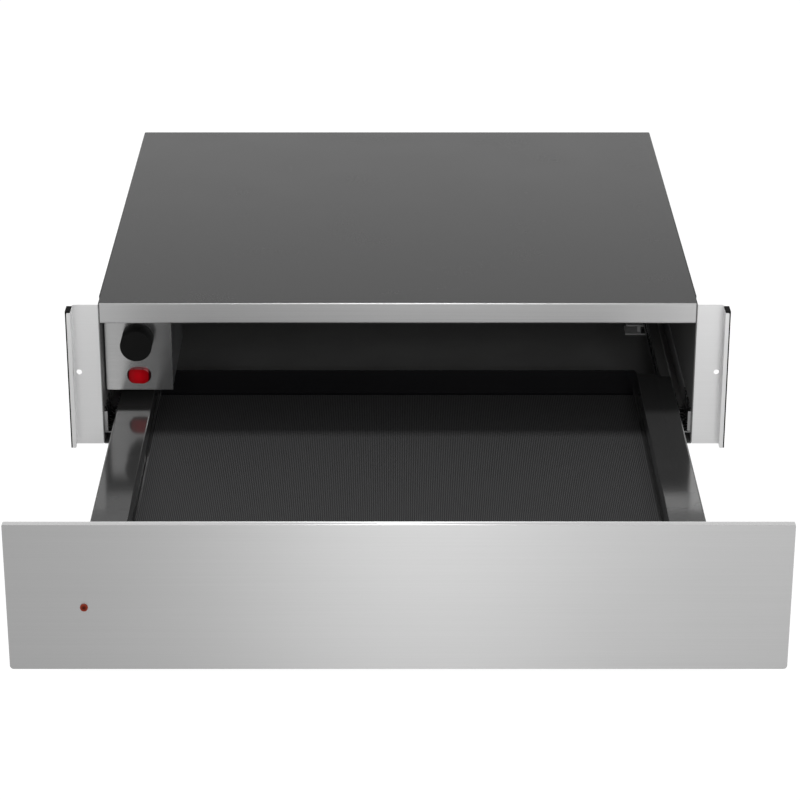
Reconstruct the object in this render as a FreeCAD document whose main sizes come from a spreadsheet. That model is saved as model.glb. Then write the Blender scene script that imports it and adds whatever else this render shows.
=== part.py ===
import FreeCAD, Part
import os

import Sketcher
from FreeCAD import Placement, Rotation, Vector

# Built-in warming drawer, 594 mm wide, drawn 423 mm out of its casing.
#
# Object frame: X to the right, Y to the rear, Z up, origin at the centre of the casing's underside.
# Each piece is drawn in a bench frame of its own assembly, whose Y starts at the casing's mouth and
# grows to the rear, with the drawer shut.  The Placement of a piece then moves it to the object frame
# and carries it forward by its own share of the drawer's travel.

DOC = FreeCAD.newDocument("warming_drawer")
SHEET = DOC.addObject("Spreadsheet::Sheet", "Dims")

DRIVING_DIMENSIONS = (
    # casing
    ("casing_width", 540.0, "over the top cover"),
    ("casing_depth", 513.5, "mouth to rear skirt"),
    ("casing_height", 137.1, "underside to top of cover"),
    ("gauge", 1.0, "steel sheet"),
    ("hang", 20.0, "drop of the cover's side skirts"),
    ("tongue", 22.0, "front of the cover that lies on the rail, without skirts"),
    ("rail_drop", 19.4, "height of the brushed rail over the mouth"),
    ("rail_inset", 1.3, "casing side to rail end"),
    ("rail_return", 15.0, "rail's folds into the casing"),
    ("bend", 1.5, "outer bend radius of the sheet"),
    # mounting flanges
    ("flange_inner", 269.2, "centre to inner edge of flange plate"),
    ("flange_outer", 294.0, "centre to outer face of lip"),
    ("flange_height", 135.5, "height of flange plate"),
    ("flange_leg", 18.0, "leg that lies on the casing side"),
    ("fixing_x", 288.5, "centre to fixing hole"),
    ("fixing_z", 70.6, "height of fixing hole"),
    ("fixing_bore", 5.0, "fixing hole, for a 4 mm wood screw"),
    ("lip_reach", 14.5, "lip in front of the flange plate"),
    ("lip_nose", 3.4, "width of the lip's rounded nose"),
    ("lip_low", 2.0, "foot of the lip"),
    ("lip_high", 133.4, "head of the lip"),
    ("seal_gauge", 1.2, "rubber edge seal"),
    # drawer
    ("travel", 423.0, "full extension of the drawer"),
    ("panel_width", 594.0, "front panel"),
    ("panel_height", 121.9, "front panel"),
    ("panel_low", 7.6, "underside of front panel"),
    ("panel_depth", 6.0, "front panel's folded edge"),
    ("panel_corner", 3.0, "front panel's corner radius"),
    ("tray_half", 256.2, "centre to outer edge of the tray's rim"),
    ("well_half", 224.5, "centre to inner wall of tray"),
    ("tray_top", 34.1, "top of the tray's rims"),
    ("tray_floor", 12.0, "upper face of the tray's floor"),
    ("tray_rear", 509.0, "rear wall of the tray, drawer shut"),
    ("back_rise", 2.9, "rear wall above the rims"),
    ("hem", 6.0, "sheet folded back under the tray's rims"),
    ("rim_end", 8.0, "outer part of the rims stops short by this"),
    ("mat_gauge", 1.2, "anti-slip mat"),
    ("mat_gap", 2.0, "mat to tray wall"),
    # controls
    ("control_left", -266.4, "left edge of control plate"),
    ("control_width", 60.7, "control plate"),
    ("control_low", 44.1, "lower edge of control plate"),
    ("control_back", 21.0, "control plate behind the mouth"),
    ("control_depth", 128.0, "control box behind its plate"),
    ("knob_x", -236.5, "thermostat knob"),
    ("knob_z", 95.0, "thermostat knob"),
    ("knob_bore", 6.0, "thermostat shaft"),
    ("knob_wide", 28.6, "knob's diameter"),
    ("knob_reach", 20.0, "knob in front of the plate"),
    ("switch_x", -236.3, "rocker switch"),
    ("switch_z", 59.0, "rocker switch"),
    ("rocker_half", 10.2, "half length of the rocker"),
    ("rocker_radius", 7.0, "rounded ends of the rocker"),
    ("lens_x", -238.2, "light window in the panel"),
    ("lens_z", 60.5, "light window in the panel"),
    ("lens_bore", 6.0, "light window in the panel"),
    # slides
    ("slide_gap", 11.8, "tray carrier to slide bracket"),
    ("slide_z", 21.4, "centre height of the slides"),
    ("slide_half", 10.2, "half height of the cabinet member"),
    ("slide_gauge", 1.0, "slide steel"),
    ("slide_front", 1.5, "front end of the cabinet member"),
    ("slide_length", 476.0, "cabinet member"),
    ("ball_outer", 2.4, "balls of the outer race"),
    ("ball_inner", 2.0, "balls of the inner race"),
    # push latch
    ("latch_x", 248.25, "centre of the latch"),
    ("latch_y", 268.0, "front of the latch foot"),
    ("latch_width", 37.5, "latch foot"),
    ("latch_length", 22.0, "latch foot"),
    ("latch_top", 9.5, "top of the latch"),
    ("plunger_reach", 8.0, "plunger in front of the latch"),
    # fan heater
    ("fan_z", 85.0, "fan axis"),
    ("fan_half", 92.0, "half width of the fan housing"),
    ("fan_low", 41.0, "underside of the fan housing"),
    ("fan_high", 129.0, "top of the fan housing"),
    ("fan_front", 441.0, "front of the fan housing"),
    ("fan_radius", 30.0, "impeller"),
    ("heater_tube", 6.5, "tubular element"),
)


class Size:
    """A length that knows its own formula, so that a property can be bound to the sheet."""

    def __init__(self, value, text):
        self.value = value
        self.text = text

    @staticmethod
    def of(number):
        if isinstance(number, Size):
            return number
        return Size(float(number), repr(float(number)))

    def __add__(self, other):
        other = Size.of(other)
        return Size(self.value + other.value, f"({self.text} + {other.text})")

    def __sub__(self, other):
        other = Size.of(other)
        return Size(self.value - other.value, f"({self.text} - {other.text})")

    def __mul__(self, factor):
        return Size(self.value * factor, f"({self.text} * {factor})")

    def __truediv__(self, factor):
        return Size(self.value / factor, f"({self.text} / {factor})")

    def __neg__(self):
        return Size(-self.value, f"(-1 * {self.text})")

    __radd__ = __add__
    __rmul__ = __mul__

    def __rsub__(self, other):
        return Size.of(other) - self


class Sizes:
    """Attribute access to the sheet's aliases."""

    def __getattr__(self, alias):
        return Size(float(SHEET.get(alias)), f"Dims.{alias}")


def fill_sheet():
    for row, (alias, value, note) in enumerate(DRIVING_DIMENSIONS, start=1):
        SHEET.set(f"A{row}", alias)
        SHEET.set(f"B{row}", str(value))
        SHEET.setAlias(f"B{row}", alias)
        SHEET.set(f"C{row}", note)
    DOC.recompute()


def bind(thing, path, size):
    """Drives one property of an object by a formula of the sheet's cells."""
    thing.setExpression(path, Size.of(size).text)


# ---------------------------------------------------------------- sketch profiles

def pin_point(sketch, curve, end, x, y):
    """Holds one sketch point at (x, y) by two driven distances from the sketch's origin."""
    for kind, axis, size in (("DistanceX", -2, Size.of(x)), ("DistanceY", -1, Size.of(y))):
        if size.text == "0.0":
            sketch.addConstraint(Sketcher.Constraint("PointOnObject", curve, end, axis))
            continue
        index = sketch.addConstraint(Sketcher.Constraint(kind, -1, 1, curve, end, size.value))
        sketch.renameConstraint(index, f"c{index}")
        bind(sketch, f"Constraints.c{index}", size)


def polygon(*points):
    """Closed outline through the given points."""
    def draw(sketch):
        first = sketch.GeometryCount
        corners = [(Size.of(x), Size.of(y)) for x, y in points]
        following = corners[1:] + corners[:1]
        for (x, y), (next_x, next_y) in zip(corners, following):
            start = Vector(x.value, y.value, 0)
            end = Vector(next_x.value, next_y.value, 0)
            sketch.addGeometry(Part.LineSegment(start, end), False)
        count = len(corners)
        for index in range(count):
            after = (index + 1) % count
            joint = Sketcher.Constraint("Coincident", first + index, 2, first + after, 1)
            sketch.addConstraint(joint)
        for index, (x, y) in enumerate(corners):
            pin_point(sketch, first + index, 1, x, y)
    return draw


def rectangle(x_low, y_low, x_high, y_high):
    return polygon((x_low, y_low), (x_high, y_low), (x_high, y_high), (x_low, y_high))


def disc(x, y, radius):
    """Full circle."""
    def draw(sketch):
        size = Size.of(radius)
        centre = Vector(Size.of(x).value, Size.of(y).value, 0)
        curve = sketch.addGeometry(Part.Circle(centre, Vector(0, 0, 1), size.value), False)
        pin_point(sketch, curve, 3, x, y)
        index = sketch.addConstraint(Sketcher.Constraint("Radius", curve, size.value))
        sketch.renameConstraint(index, f"c{index}")
        bind(sketch, f"Constraints.c{index}", size)
    return draw


def hexagon(x, y, radius):
    """Screw hole with six flats, as wide over its corners as twice the radius."""
    half = Size.of(radius) / 2
    rise = Size.of(radius) * HEXAGON_FLAT
    return polygon((x + radius, y), (x + half, y + rise), (x - half, y + rise), (x - radius, y),
                   (x - half, y - rise), (x + half, y - rise))


# ---------------------------------------------------------------- pieces

HEXAGON_FLAT = 0.75 ** 0.5
PLANES = {"x": "YZ_Plane", "y": "XZ_Plane", "z": "XY_Plane"}
AXIS_PLACE = {"x": 0, "y": 1, "z": 2}
PIECES = []


class Piece:
    """One separate piece: a body whose sketches and features are driven by the sheet.

    Features are named by the axis they are drawn along.  `start` and `length` run along the positive
    direction of that axis; a profile is in (Y, Z) for x, in (X, Z) for y and in (X, Y) for z.
    """

    def __init__(self, label, advance=0.0, finished=True):
        self.body = DOC.addObject("PartDesign::Body", label)
        self.body.Label = label
        self.label = label
        if finished:
            set_out(self.body, advance)

    def sketch(self, name, axis, start, profiles):
        sketch = self.body.newObject("Sketcher::SketchObject", f"{self.label}_{name}_sketch")
        features = self.body.Origin.OriginFeatures
        plane = next(item for item in features if item.Role == PLANES[axis])
        sketch.AttachmentSupport = [(plane, "")]
        sketch.MapMode = "FlatFace"
        offset = -Size.of(start) if axis == "y" else Size.of(start)
        bind(sketch, "AttachmentOffset.Base.z", offset)
        for draw in profiles:
            draw(sketch)
        return sketch

    def add(self, name, axis, start, length, *profiles):
        """Pads the profiles along the axis."""
        sketch = self.sketch(name, axis, start, profiles)
        feature = self.body.newObject("PartDesign::Pad", f"{self.label}_{name}")
        feature.Profile = sketch
        feature.Reversed = axis == "y"
        bind(feature, "Length", length)
        return feature

    def cut(self, name, axis, start, length, *profiles):
        """Pockets the profiles along the axis, and makes sure that something was removed."""
        DOC.recompute()
        before = self.body.Shape.Volume
        sketch = self.sketch(name, axis, start, profiles)
        feature = self.body.newObject("PartDesign::Pocket", f"{self.label}_{name}")
        feature.Profile = sketch
        feature.Reversed = axis != "y"
        bind(feature, "Length", length)
        DOC.recompute()
        if self.body.Shape.Volume > before - 1e-3:
            raise RuntimeError(f"{self.label}: pocket {name} removed nothing")
        return feature

    def edges(self, axis, places):
        """Names of the straight edges along the axis that pass through the given places."""
        along = AXIS_PLACE[axis]
        across = [index for index in range(3) if index != along]
        wanted = [(Size.of(a).value, Size.of(b).value) for a, b in places]
        found = []
        for number, edge in enumerate(self.body.Tip.Shape.Edges, start=1):
            ends = [vertex.Point for vertex in edge.Vertexes]
            if len(ends) != 2 or abs(ends[0][along] - ends[1][along]) < 1e-6:
                continue
            if any(abs(ends[0][index] - ends[1][index]) > 1e-4 for index in across):
                continue
            for a, b in wanted:
                if abs(ends[0][across[0]] - a) < 0.01 and abs(ends[0][across[1]] - b) < 0.01:
                    found.append(f"Edge{number}")
        if not found:
            raise RuntimeError(f"{self.label}: no edge along {axis} at {wanted}")
        return found

    def dress(self, kind, name, size, axis, places):
        """Rounds or bevels the straight edges along the axis at the given places."""
        DOC.recompute()
        base = self.body.Tip
        names = self.edges(axis, places)
        feature = self.body.newObject(f"PartDesign::{kind}", f"{self.label}_{name}")
        feature.Base = (base, names)
        bind(feature, "Radius" if kind == "Fillet" else "Size", size)
        return feature

    def round(self, name, radius, axis, *places):
        return self.dress("Fillet", name, radius, axis, places)

    def bevel(self, name, size, axis, *places):
        return self.dress("Chamfer", name, size, axis, places)

    def repeat(self, name, features, axis, length, count):
        """Repeats features in a row along an axis of the body."""
        DOC.recompute()
        pattern = self.body.newObject("PartDesign::LinearPattern", f"{self.label}_{name}")
        pattern.Originals = features
        role = f"{axis.upper()}_Axis"
        line = next(item for item in self.body.Origin.OriginFeatures if item.Role == role)
        pattern.Direction = (line, [""])
        bind(pattern, "Length", length)
        pattern.Occurrences = count
        self.body.Tip = pattern
        return pattern


def set_out(thing, advance=0.0):
    """Moves a finished piece from its bench frame to the object frame and lists it for export."""
    bind(thing, "Placement.Base.y", -SIZE.casing_depth / 2 - Size.of(advance))
    PIECES.append(thing)


def hexagonal_bar(radius, length, seat, drive):
    """Six-sided bar from the seat along the drive, one corner pointing along the object's length."""
    angles = [60 * step for step in range(7)]
    corners = [Rotation(Vector(0, 0, 1), angle).multVec(Vector(radius, 0, 0)) for angle in angles]
    bar = Part.Face(Part.makePolygon(corners)).extrude(Vector(0, 0, length))
    across = Vector(0, 1, 0) if abs(drive.x) > 0.5 else Vector(1, 0, 0)
    turn = Rotation(across, drive.cross(across), drive, "ZXY")
    bar.Placement = Placement(seat, turn)
    return bar


def screw_group(label, spots, shank_length, advance=0.0):
    """A set of like hexagon-head sheet screws as one group of separate solids.

    Each spot is the seat of one head and the direction in which the screw is driven.
    """
    solids = []
    for seat, drive in spots:
        head = hexagonal_bar(SCREW_RADIUS * 2.3, SCREW_RADIUS * 1.3, seat, -drive)
        shank = hexagonal_bar(SCREW_RADIUS, shank_length, seat, drive)
        solids.append(head.fuse(shank).removeSplitter())
    group = DOC.addObject("Part::Feature", label)
    group.Label = label
    group.Shape = Part.makeCompound(solids)
    set_out(group, advance)
    return group


SIZE = Sizes()
LEFT, RIGHT = -1, 1
SIDES = (("left", LEFT), ("right", RIGHT))

# Screw places of the bench frame, shared by the holes and the screws.
SCREW_RADIUS = 1.5
COVER_SCREW_X = (-180, 0, 180)
FLANGE_SCREW_Y = 11
FLANGE_SCREW_HEIGHTS = (35, 95)
PANEL_SCREW_X = (-250, 250)
PANEL_SCREW_HEIGHTS = (52, 100)
BALLS_PER_ROW = 4
POLE_LIFT = 0.9
POLE_GIRTH = 0.42


# ---------------------------------------------------------------- casing

def make_casing_base():
    """Floor and side walls, folded from one sheet."""
    gauge = SIZE.gauge
    half = SIZE.casing_width / 2 - gauge
    top = SIZE.casing_height - gauge
    depth = SIZE.casing_depth - gauge * 2
    piece = Piece("casing_base")
    piece.add("channel", "y", 0, depth, polygon(
        (-half, 0), (half, 0), (half, top), (half - gauge, top), (half - gauge, gauge),
        (gauge - half, gauge), (gauge - half, top), (-half, top)))
    piece.round("outer_bends", SIZE.bend, "y", (-half, 0), (half, 0))
    piece.round("inner_bends", SIZE.bend / 3, "y", (gauge - half, gauge), (half - gauge, gauge))
    louvre_z = SIZE.casing_height * 0.78
    louvre = piece.cut("vent", "x", -half - 1, half * 2 + 2, rectangle(
        depth - 110, louvre_z, depth - 107, louvre_z + 16))
    piece.repeat("vents", [louvre], "y", 70, 6)
    piece.cut("screw_holes", "x", -half - 1, half * 2 + 2, *[
        hexagon(FLANGE_SCREW_Y, z, SCREW_RADIUS) for z in FLANGE_SCREW_HEIGHTS])
    return piece


def make_top_cover():
    """Lid with side and rear skirts; its front tongue lies on the rail, between the flanges."""
    gauge = SIZE.gauge
    half = SIZE.casing_width / 2
    top = SIZE.casing_height
    rear = SIZE.casing_depth
    narrow = half - gauge * 1.2
    piece = Piece("top_cover")
    piece.add("lid", "y", SIZE.tongue, rear - SIZE.tongue, polygon(
        (-half, top - SIZE.hang), (gauge - half, top - SIZE.hang), (gauge - half, top - gauge),
        (half - gauge, top - gauge), (half - gauge, top - SIZE.hang), (half, top - SIZE.hang),
        (half, top), (-half, top)))
    piece.add("tongue", "y", 2.2, SIZE.tongue - 2.2, rectangle(-narrow, top - gauge, narrow, top))
    piece.add("rear_skirt", "y", rear - gauge, gauge, rectangle(
        -half, top - SIZE.hang, half, top))
    piece.round("side_bends", SIZE.bend, "y", (-half, top), (half, top))
    piece.round("rear_bend", SIZE.bend, "x", (rear, top))
    piece.cut("screw_holes", "y", rear - gauge - 1, gauge + 2, *[
        hexagon(x, top - SIZE.hang / 2, SCREW_RADIUS) for x in COVER_SCREW_X])
    return piece


def make_rear_panel():
    """Back wall between the casing's sides, with air slots and the cable entry."""
    gauge = SIZE.gauge
    half = SIZE.casing_width / 2 - gauge * 2
    rear = SIZE.casing_depth - gauge
    top = SIZE.casing_height - gauge
    piece = Piece("rear_panel")
    piece.add("plate", "y", rear - gauge, gauge, rectangle(-half, gauge, half, top))
    for name, side in SIDES:
        edge = half * side
        inner = edge - gauge * side
        piece.add(f"{name}_fold", "y", rear - 12, 12 - gauge, rectangle(inner, 45, edge, top))
    slot = piece.cut("air_slot", "y", rear - gauge - 1, gauge + 2, rectangle(-66, 88, -62, 118))
    piece.repeat("air_slots", [slot], "x", 128, 17)
    piece.cut("cable_entry", "y", rear - gauge - 1, gauge + 2, disc(-200, 70, 8))
    piece.cut("screw_holes", "y", rear - gauge - 1, gauge + 2, *[
        hexagon(x, SIZE.casing_height - SIZE.hang / 2, SCREW_RADIUS) for x in COVER_SCREW_X])
    return piece


def make_front_rail():
    """Brushed rail over the mouth: rolled bead on top, folds into the casing above and below."""
    gauge = SIZE.gauge
    half = SIZE.casing_width / 2 - SIZE.rail_inset - 1
    top = SIZE.casing_height
    low = top - SIZE.rail_drop
    seat = top - gauge
    bead = gauge * 2
    piece = Piece("front_cross_rail")
    piece.add("profile", "x", -half, half * 2, polygon(
        (0, low), (SIZE.rail_return, low), (SIZE.rail_return, low + gauge), (gauge, low + gauge),
        (gauge, seat - gauge), (SIZE.rail_return, seat - gauge), (SIZE.rail_return, seat),
        (bead, seat), (bead, top), (0, top)))
    piece.round("bead", gauge * 0.9, "x", (0, top), (bead, top))
    piece.round("lower_bend", SIZE.bend, "x", (0, low))
    return piece


def make_flange(name, side):
    """Mounting flange: a leg on the casing side, the drilled plate, and the lip with its nose."""
    gauge = SIZE.gauge
    inner = SIZE.flange_inner * side
    leg = (SIZE.flange_inner - 0.2) * side
    outer = SIZE.flange_outer * side
    thick = gauge * side
    reach = SIZE.lip_reach
    nose_in = (SIZE.flange_outer - 1.5) * side
    nose_out = (SIZE.flange_outer - 1.5 + SIZE.lip_nose) * side
    piece = Piece(f"{name}_flange")
    piece.add("plate", "y", 0, gauge, rectangle(inner, 0, outer, SIZE.flange_height))
    piece.round("corner", 4, "y", (outer, SIZE.flange_height))
    piece.add("leg", "z", 6, SIZE.casing_height - SIZE.hang - 10, rectangle(
        leg, 0, leg + thick, SIZE.flange_leg))
    lip_height = SIZE.lip_high - SIZE.lip_low
    piece.add("lip", "z", SIZE.lip_low, lip_height, polygon(
        (outer - thick, gauge), (outer, gauge), (outer, 3.0 - reach), (nose_out, 3.0 - reach),
        (nose_out, -reach), (nose_in, -reach), (nose_in, 3.0 - reach), (outer - thick, 3.0 - reach)))
    piece.round("nose_ends", 1.2, "y", (nose_in, SIZE.lip_high), (nose_out, SIZE.lip_high),
                (nose_in, SIZE.lip_low), (nose_out, SIZE.lip_low))
    piece.cut("fixing_hole", "y", -1, 4, disc(
        SIZE.fixing_x * side, SIZE.fixing_z, SIZE.fixing_bore / 2))
    piece.cut("screw_holes", "x", leg - 2, 4, *[
        hexagon(FLANGE_SCREW_Y, z, SCREW_RADIUS) for z in FLANGE_SCREW_HEIGHTS])
    return piece


def make_edge_seal(name, side):
    """Rubber profile over the outer side and the head of the flange's lip."""
    gauge = SIZE.seal_gauge
    step = 0.1 * side
    lip_out = SIZE.flange_outer * side + step
    nose_in = (SIZE.flange_outer - 1.5) * side
    nose_out = (SIZE.flange_outer - 1.5 + SIZE.lip_nose) * side
    outer = nose_out + gauge * side
    reach = SIZE.lip_reach
    high = SIZE.lip_high + 0.1
    piece = Piece(f"{name}_edge_seal")
    piece.add("strip", "z", SIZE.lip_low, high + gauge - SIZE.lip_low, polygon(
        (lip_out, 3.1 - reach), (nose_out, 3.1 - reach), (nose_out, 0.4 - reach),
        (outer, 0.4 - reach), (outer, -0.2), (lip_out, -0.2)))
    piece.add("head", "z", high, gauge, rectangle(nose_in, 0.4 - reach, outer, -0.2))
    return piece


# ---------------------------------------------------------------- controls

def make_control_plate():
    """Brushed plate behind the mouth that carries the knob and the switch."""
    gauge = SIZE.gauge
    left = SIZE.control_left
    right = left + SIZE.control_width
    low = SIZE.control_low
    front = SIZE.control_back
    high = SIZE.casing_height - gauge * 3
    piece = Piece("control_plate")
    piece.add("face", "y", front, gauge, rectangle(left, low, right, high))
    piece.add("lower_fold", "z", low, gauge, rectangle(left, front, right, front + 9))
    piece.round("lower_bend", 0.8, "x", (front, low))
    piece.cut("shaft_hole", "y", front - 1, gauge + 2, disc(SIZE.knob_x, SIZE.knob_z, 3.6))
    x, z = SIZE.switch_x, SIZE.switch_z
    half, high = SIZE.rocker_half + 0.8, SIZE.rocker_radius + 0.5
    piece.cut("switch_hole", "y", front - 1, gauge + 2, rectangle(
        x - half, z - high, x + half, z + high))
    piece.round("switch_hole_ends", SIZE.rocker_radius - 0.2, "y", (x - half, z - high),
                (x + half, z - high), (x - half, z + high), (x + half, z + high))
    return piece


def make_control_box():
    """Sheet box behind the control plate: floor, inner side and rear wall in one folded piece."""
    gauge = SIZE.gauge
    left = SIZE.control_left
    right = left + SIZE.control_width - 0.6
    low = SIZE.control_low + gauge + 0.1
    front = SIZE.control_back + gauge
    high = SIZE.casing_height - gauge * 2
    depth = SIZE.control_depth
    piece = Piece("control_box")
    piece.add("block", "y", front, depth, rectangle(left, low, right, high))
    piece.cut("hollow", "z", low + gauge, high - low, rectangle(
        left + gauge, front - 1, right - gauge, front + depth - gauge))
    piece.cut("cable_slot", "z", low + gauge * 4, high - low, rectangle(
        left + 18, front + depth - 4, left + 30, front + depth + 2))
    return piece


def make_thermostat():
    """Thermostat: square body, threaded neck through the plate, terminals at the rear."""
    front = SIZE.control_back + SIZE.gauge
    x, z = SIZE.knob_x, SIZE.knob_z
    piece = Piece("thermostat")
    piece.add("body", "y", front + 0.8, 26, rectangle(x - 20, z - 17, x + 20, z + 17))
    piece.round("corners", 4, "y", (x - 20, z - 17), (x + 20, z - 17), (x - 20, z + 17),
                (x + 20, z + 17))
    piece.add("mount_plate", "y", front + 0.05, 0.75, rectangle(x - 18, z - 8, x + 18, z + 8))
    piece.add("terminals", "y", front + 26, 9, rectangle(x - 13, z - 3, x - 12.2, z + 3.3),
              rectangle(x + 12.2, z - 3, x + 13, z + 3.3))
    piece.cut("shaft_bore", "y", front - 1, 21, disc(x, z, SIZE.knob_bore / 2 + 0.05))
    return piece


def make_thermostat_shaft():
    """Turned shaft with the flat that drives the knob."""
    front = SIZE.control_back
    x, z = SIZE.knob_x, SIZE.knob_z
    radius = SIZE.knob_bore / 2
    piece = Piece("thermostat_shaft")
    piece.add("rod", "y", front - 12, 30, disc(x, z, radius))
    piece.cut("flat", "y", front - 13, 12.3, rectangle(x - 4, z + radius * 0.5, x + 4, z + 4))
    return piece


def make_knob():
    """Thermostat knob: a plain straight cap on the shaft's flat, ending short of the plate."""
    front = SIZE.control_back
    x, z = SIZE.knob_x, SIZE.knob_z
    bore = SIZE.knob_bore / 2
    piece = Piece("knob")
    piece.add("cap", "y", front - SIZE.knob_reach, SIZE.knob_reach - 0.8, disc(
        x, z, SIZE.knob_wide / 2))
    piece.cut("bore", "y", front - 12.1, 12.1, polygon(
        (x - bore, z - bore), (x + bore, z - bore), (x + bore, z + bore * 0.5),
        (x - bore, z + bore * 0.5)))
    return piece


def make_switch_housing():
    """Switch body on the rear of the plate, with a flange and the rocker's round-ended well."""
    front = SIZE.control_back + SIZE.gauge
    x, z = SIZE.switch_x, SIZE.switch_z
    piece = Piece("switch_housing")

    def centred(half, high):
        return rectangle(x - half, z - high, x + half, z + high)

    half, high = SIZE.rocker_half + 0.8, SIZE.rocker_radius + 0.5
    piece.add("flange", "y", front, 1.4, centred(half + 3, high + 2.4))
    piece.add("body", "y", front, 16, centred(half + 1, high + 1))
    piece.add("tabs", "y", front + 16, 8, *[
        rectangle(x + spot - 0.4, z - 2.4, x + spot + 0.4, z + 2.4) for spot in (-7, 0, 7)])
    piece.cut("well", "y", front - 1, 10, centred(half, high))
    piece.round("well_ends", SIZE.rocker_radius - 0.2, "y", (x - half, z - high),
                (x + half, z - high), (x - half, z + high), (x + half, z + high))
    pivot = SIZE.control_back + 3
    piece.cut("pivot_holes", "z", z - high - 1.5, high * 2 + 3, disc(x, pivot, 1.25))
    return piece


def make_rocker():
    """Crowned rocker with rounded ends; it lies tilted to its off side on two pivot pins."""
    half, high = SIZE.rocker_half, SIZE.rocker_radius
    piece = Piece("rocker", finished=False)
    piece.add("crown", "z", -high, high * 2, polygon(
        (-half, 1.5), (half, 1.5), (half, -5.2), (half * 0.72, -6.0), (half * 0.3, -6.4),
        (half * -0.3, -6.4), (half * -0.72, -6.0), (-half, -5.2)))
    piece.round("ends", high - 0.4, "y", (-half, -high), (half, -high), (-half, high), (half, high))
    piece.add("pins", "z", -high - 1.0, high * 2 + 2.0, disc(0, 0, 1.2))
    piece.body.Placement.Rotation = Rotation(Vector(0, 0, 1), -6)
    bind(piece.body, "Placement.Base.x", SIZE.switch_x)
    bind(piece.body, "Placement.Base.y", SIZE.control_back + 3 - SIZE.casing_depth / 2)
    bind(piece.body, "Placement.Base.z", SIZE.switch_z)
    PIECES.append(piece.body)
    return piece


# ---------------------------------------------------------------- telescopic slides

def channel(web, toward, reach, half, gauge, hook=0.0):
    """C section of a slide member: upright web, two arms, and hooks that keep the balls in."""
    z = SIZE.slide_z
    inside = web + gauge * toward
    end = web + reach * toward
    throat = end - gauge * toward
    lower, upper = z - half, z + half
    corners = [(web, lower), (end, lower)]
    if hook:
        corners += [(end, lower + gauge + hook), (throat, lower + gauge + hook),
                    (throat, lower + gauge)]
    else:
        corners += [(end, lower + gauge)]
    corners += [(inside, lower + gauge), (inside, upper - gauge)]
    if hook:
        corners += [(throat, upper - gauge), (throat, upper - gauge - hook),
                    (end, upper - gauge - hook)]
    else:
        corners += [(end, upper - gauge)]
    corners += [(end, upper), (web, upper)]
    return polygon(*corners)


def make_slide_bracket(name, side):
    """Trough that carries a slide clear of the casing side; a lug is bent from its wall's end."""
    gauge = SIZE.gauge
    wall = (SIZE.casing_width / 2 - gauge * 2) * side
    seat = SIZE.tray_half * side
    thick = gauge * side
    low = SIZE.latch_top + 0.5
    rim = SIZE.tray_top - gauge * 3
    front = SIZE.slide_front
    piece = Piece(f"{name}_slide_bracket")
    piece.add("trough", "y", front + gauge, SIZE.slide_length - gauge, polygon(
        (seat, low), (wall, low), (wall, rim), (wall - thick, rim), (wall - thick, low + gauge),
        (seat + thick, low + gauge), (seat + thick, rim), (seat, rim)))
    piece.round("bends", gauge, "y", (seat, low), (wall, low))
    piece.add("lug", "y", front, gauge, rectangle(
        wall - thick * 3.3, low + gauge * 2, wall - thick * 0.6, rim))
    return piece


def make_slide_members(name, side):
    """Cabinet, middle and drawer member, nested one in the other below the tray's rim."""
    wall = SIZE.tray_half * side
    gauge = SIZE.slide_gauge
    outer_half = SIZE.slide_half
    middle_half = outer_half - 4.0
    inner_half = middle_half - 3.6
    front, length = SIZE.slide_front, SIZE.slide_length

    outer = Piece(f"{name}_slide_outer")
    outer.add("member", "y", front, length, channel(wall, -side, 9.2, outer_half, gauge, 2.3))
    middle = Piece(f"{name}_slide_middle", SIZE.travel / 2)
    middle.add("member", "y", front + 6, length - 14, channel(
        wall - 2.4 * side, -side, 7.2, middle_half, gauge, 1.8))
    carrier = (SIZE.tray_half - SIZE.slide_gap) * side
    inner = Piece(f"{name}_slide_inner", SIZE.travel)
    inner.add("member", "y", front - 9, length - 4, channel(
        carrier, side, 6.8, inner_half, gauge))
    bend = gauge * 0.8
    z = SIZE.slide_z
    outer.round("bends", bend, "y", (wall, z - outer_half), (wall, z + outer_half),
                (wall - 9.2 * side, z - outer_half), (wall - 9.2 * side, z + outer_half))
    middle_web = wall - 2.4 * side
    middle.round("bends", bend, "y", (middle_web, z - middle_half), (middle_web, z + middle_half))
    return outer, middle, inner


def ball_shape(diameter):
    """Bearing ball with six flat sides above and below its belt, just inside the true sphere.

    The races hold many balls, so each one is kept to a few flat faces.
    """
    radius = diameter / 2
    lift, girth = radius * POLE_LIFT, radius * POLE_GIRTH
    turns = [Rotation(Vector(0, 0, 1), 60 * step) for step in range(7)]
    rings = [[turn.multVec(Vector(reach, 0, level)) for turn in turns]
             for reach, level in ((girth, -lift), (radius, 0), (girth, lift))]
    outlines = [rings[0], rings[-1]]
    for lower, upper in zip(rings, rings[1:]):
        for step in range(6):
            outlines.append([lower[step], lower[step + 1], upper[step + 1], upper[step], lower[step]])
    faces = [Part.Face(Part.makePolygon(outline)) for outline in outlines]
    ball = Part.Solid(Part.Shell(faces))
    ball.fixTolerance(1e-6)
    return ball if ball.Volume > 0 else ball.reversed()


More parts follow.
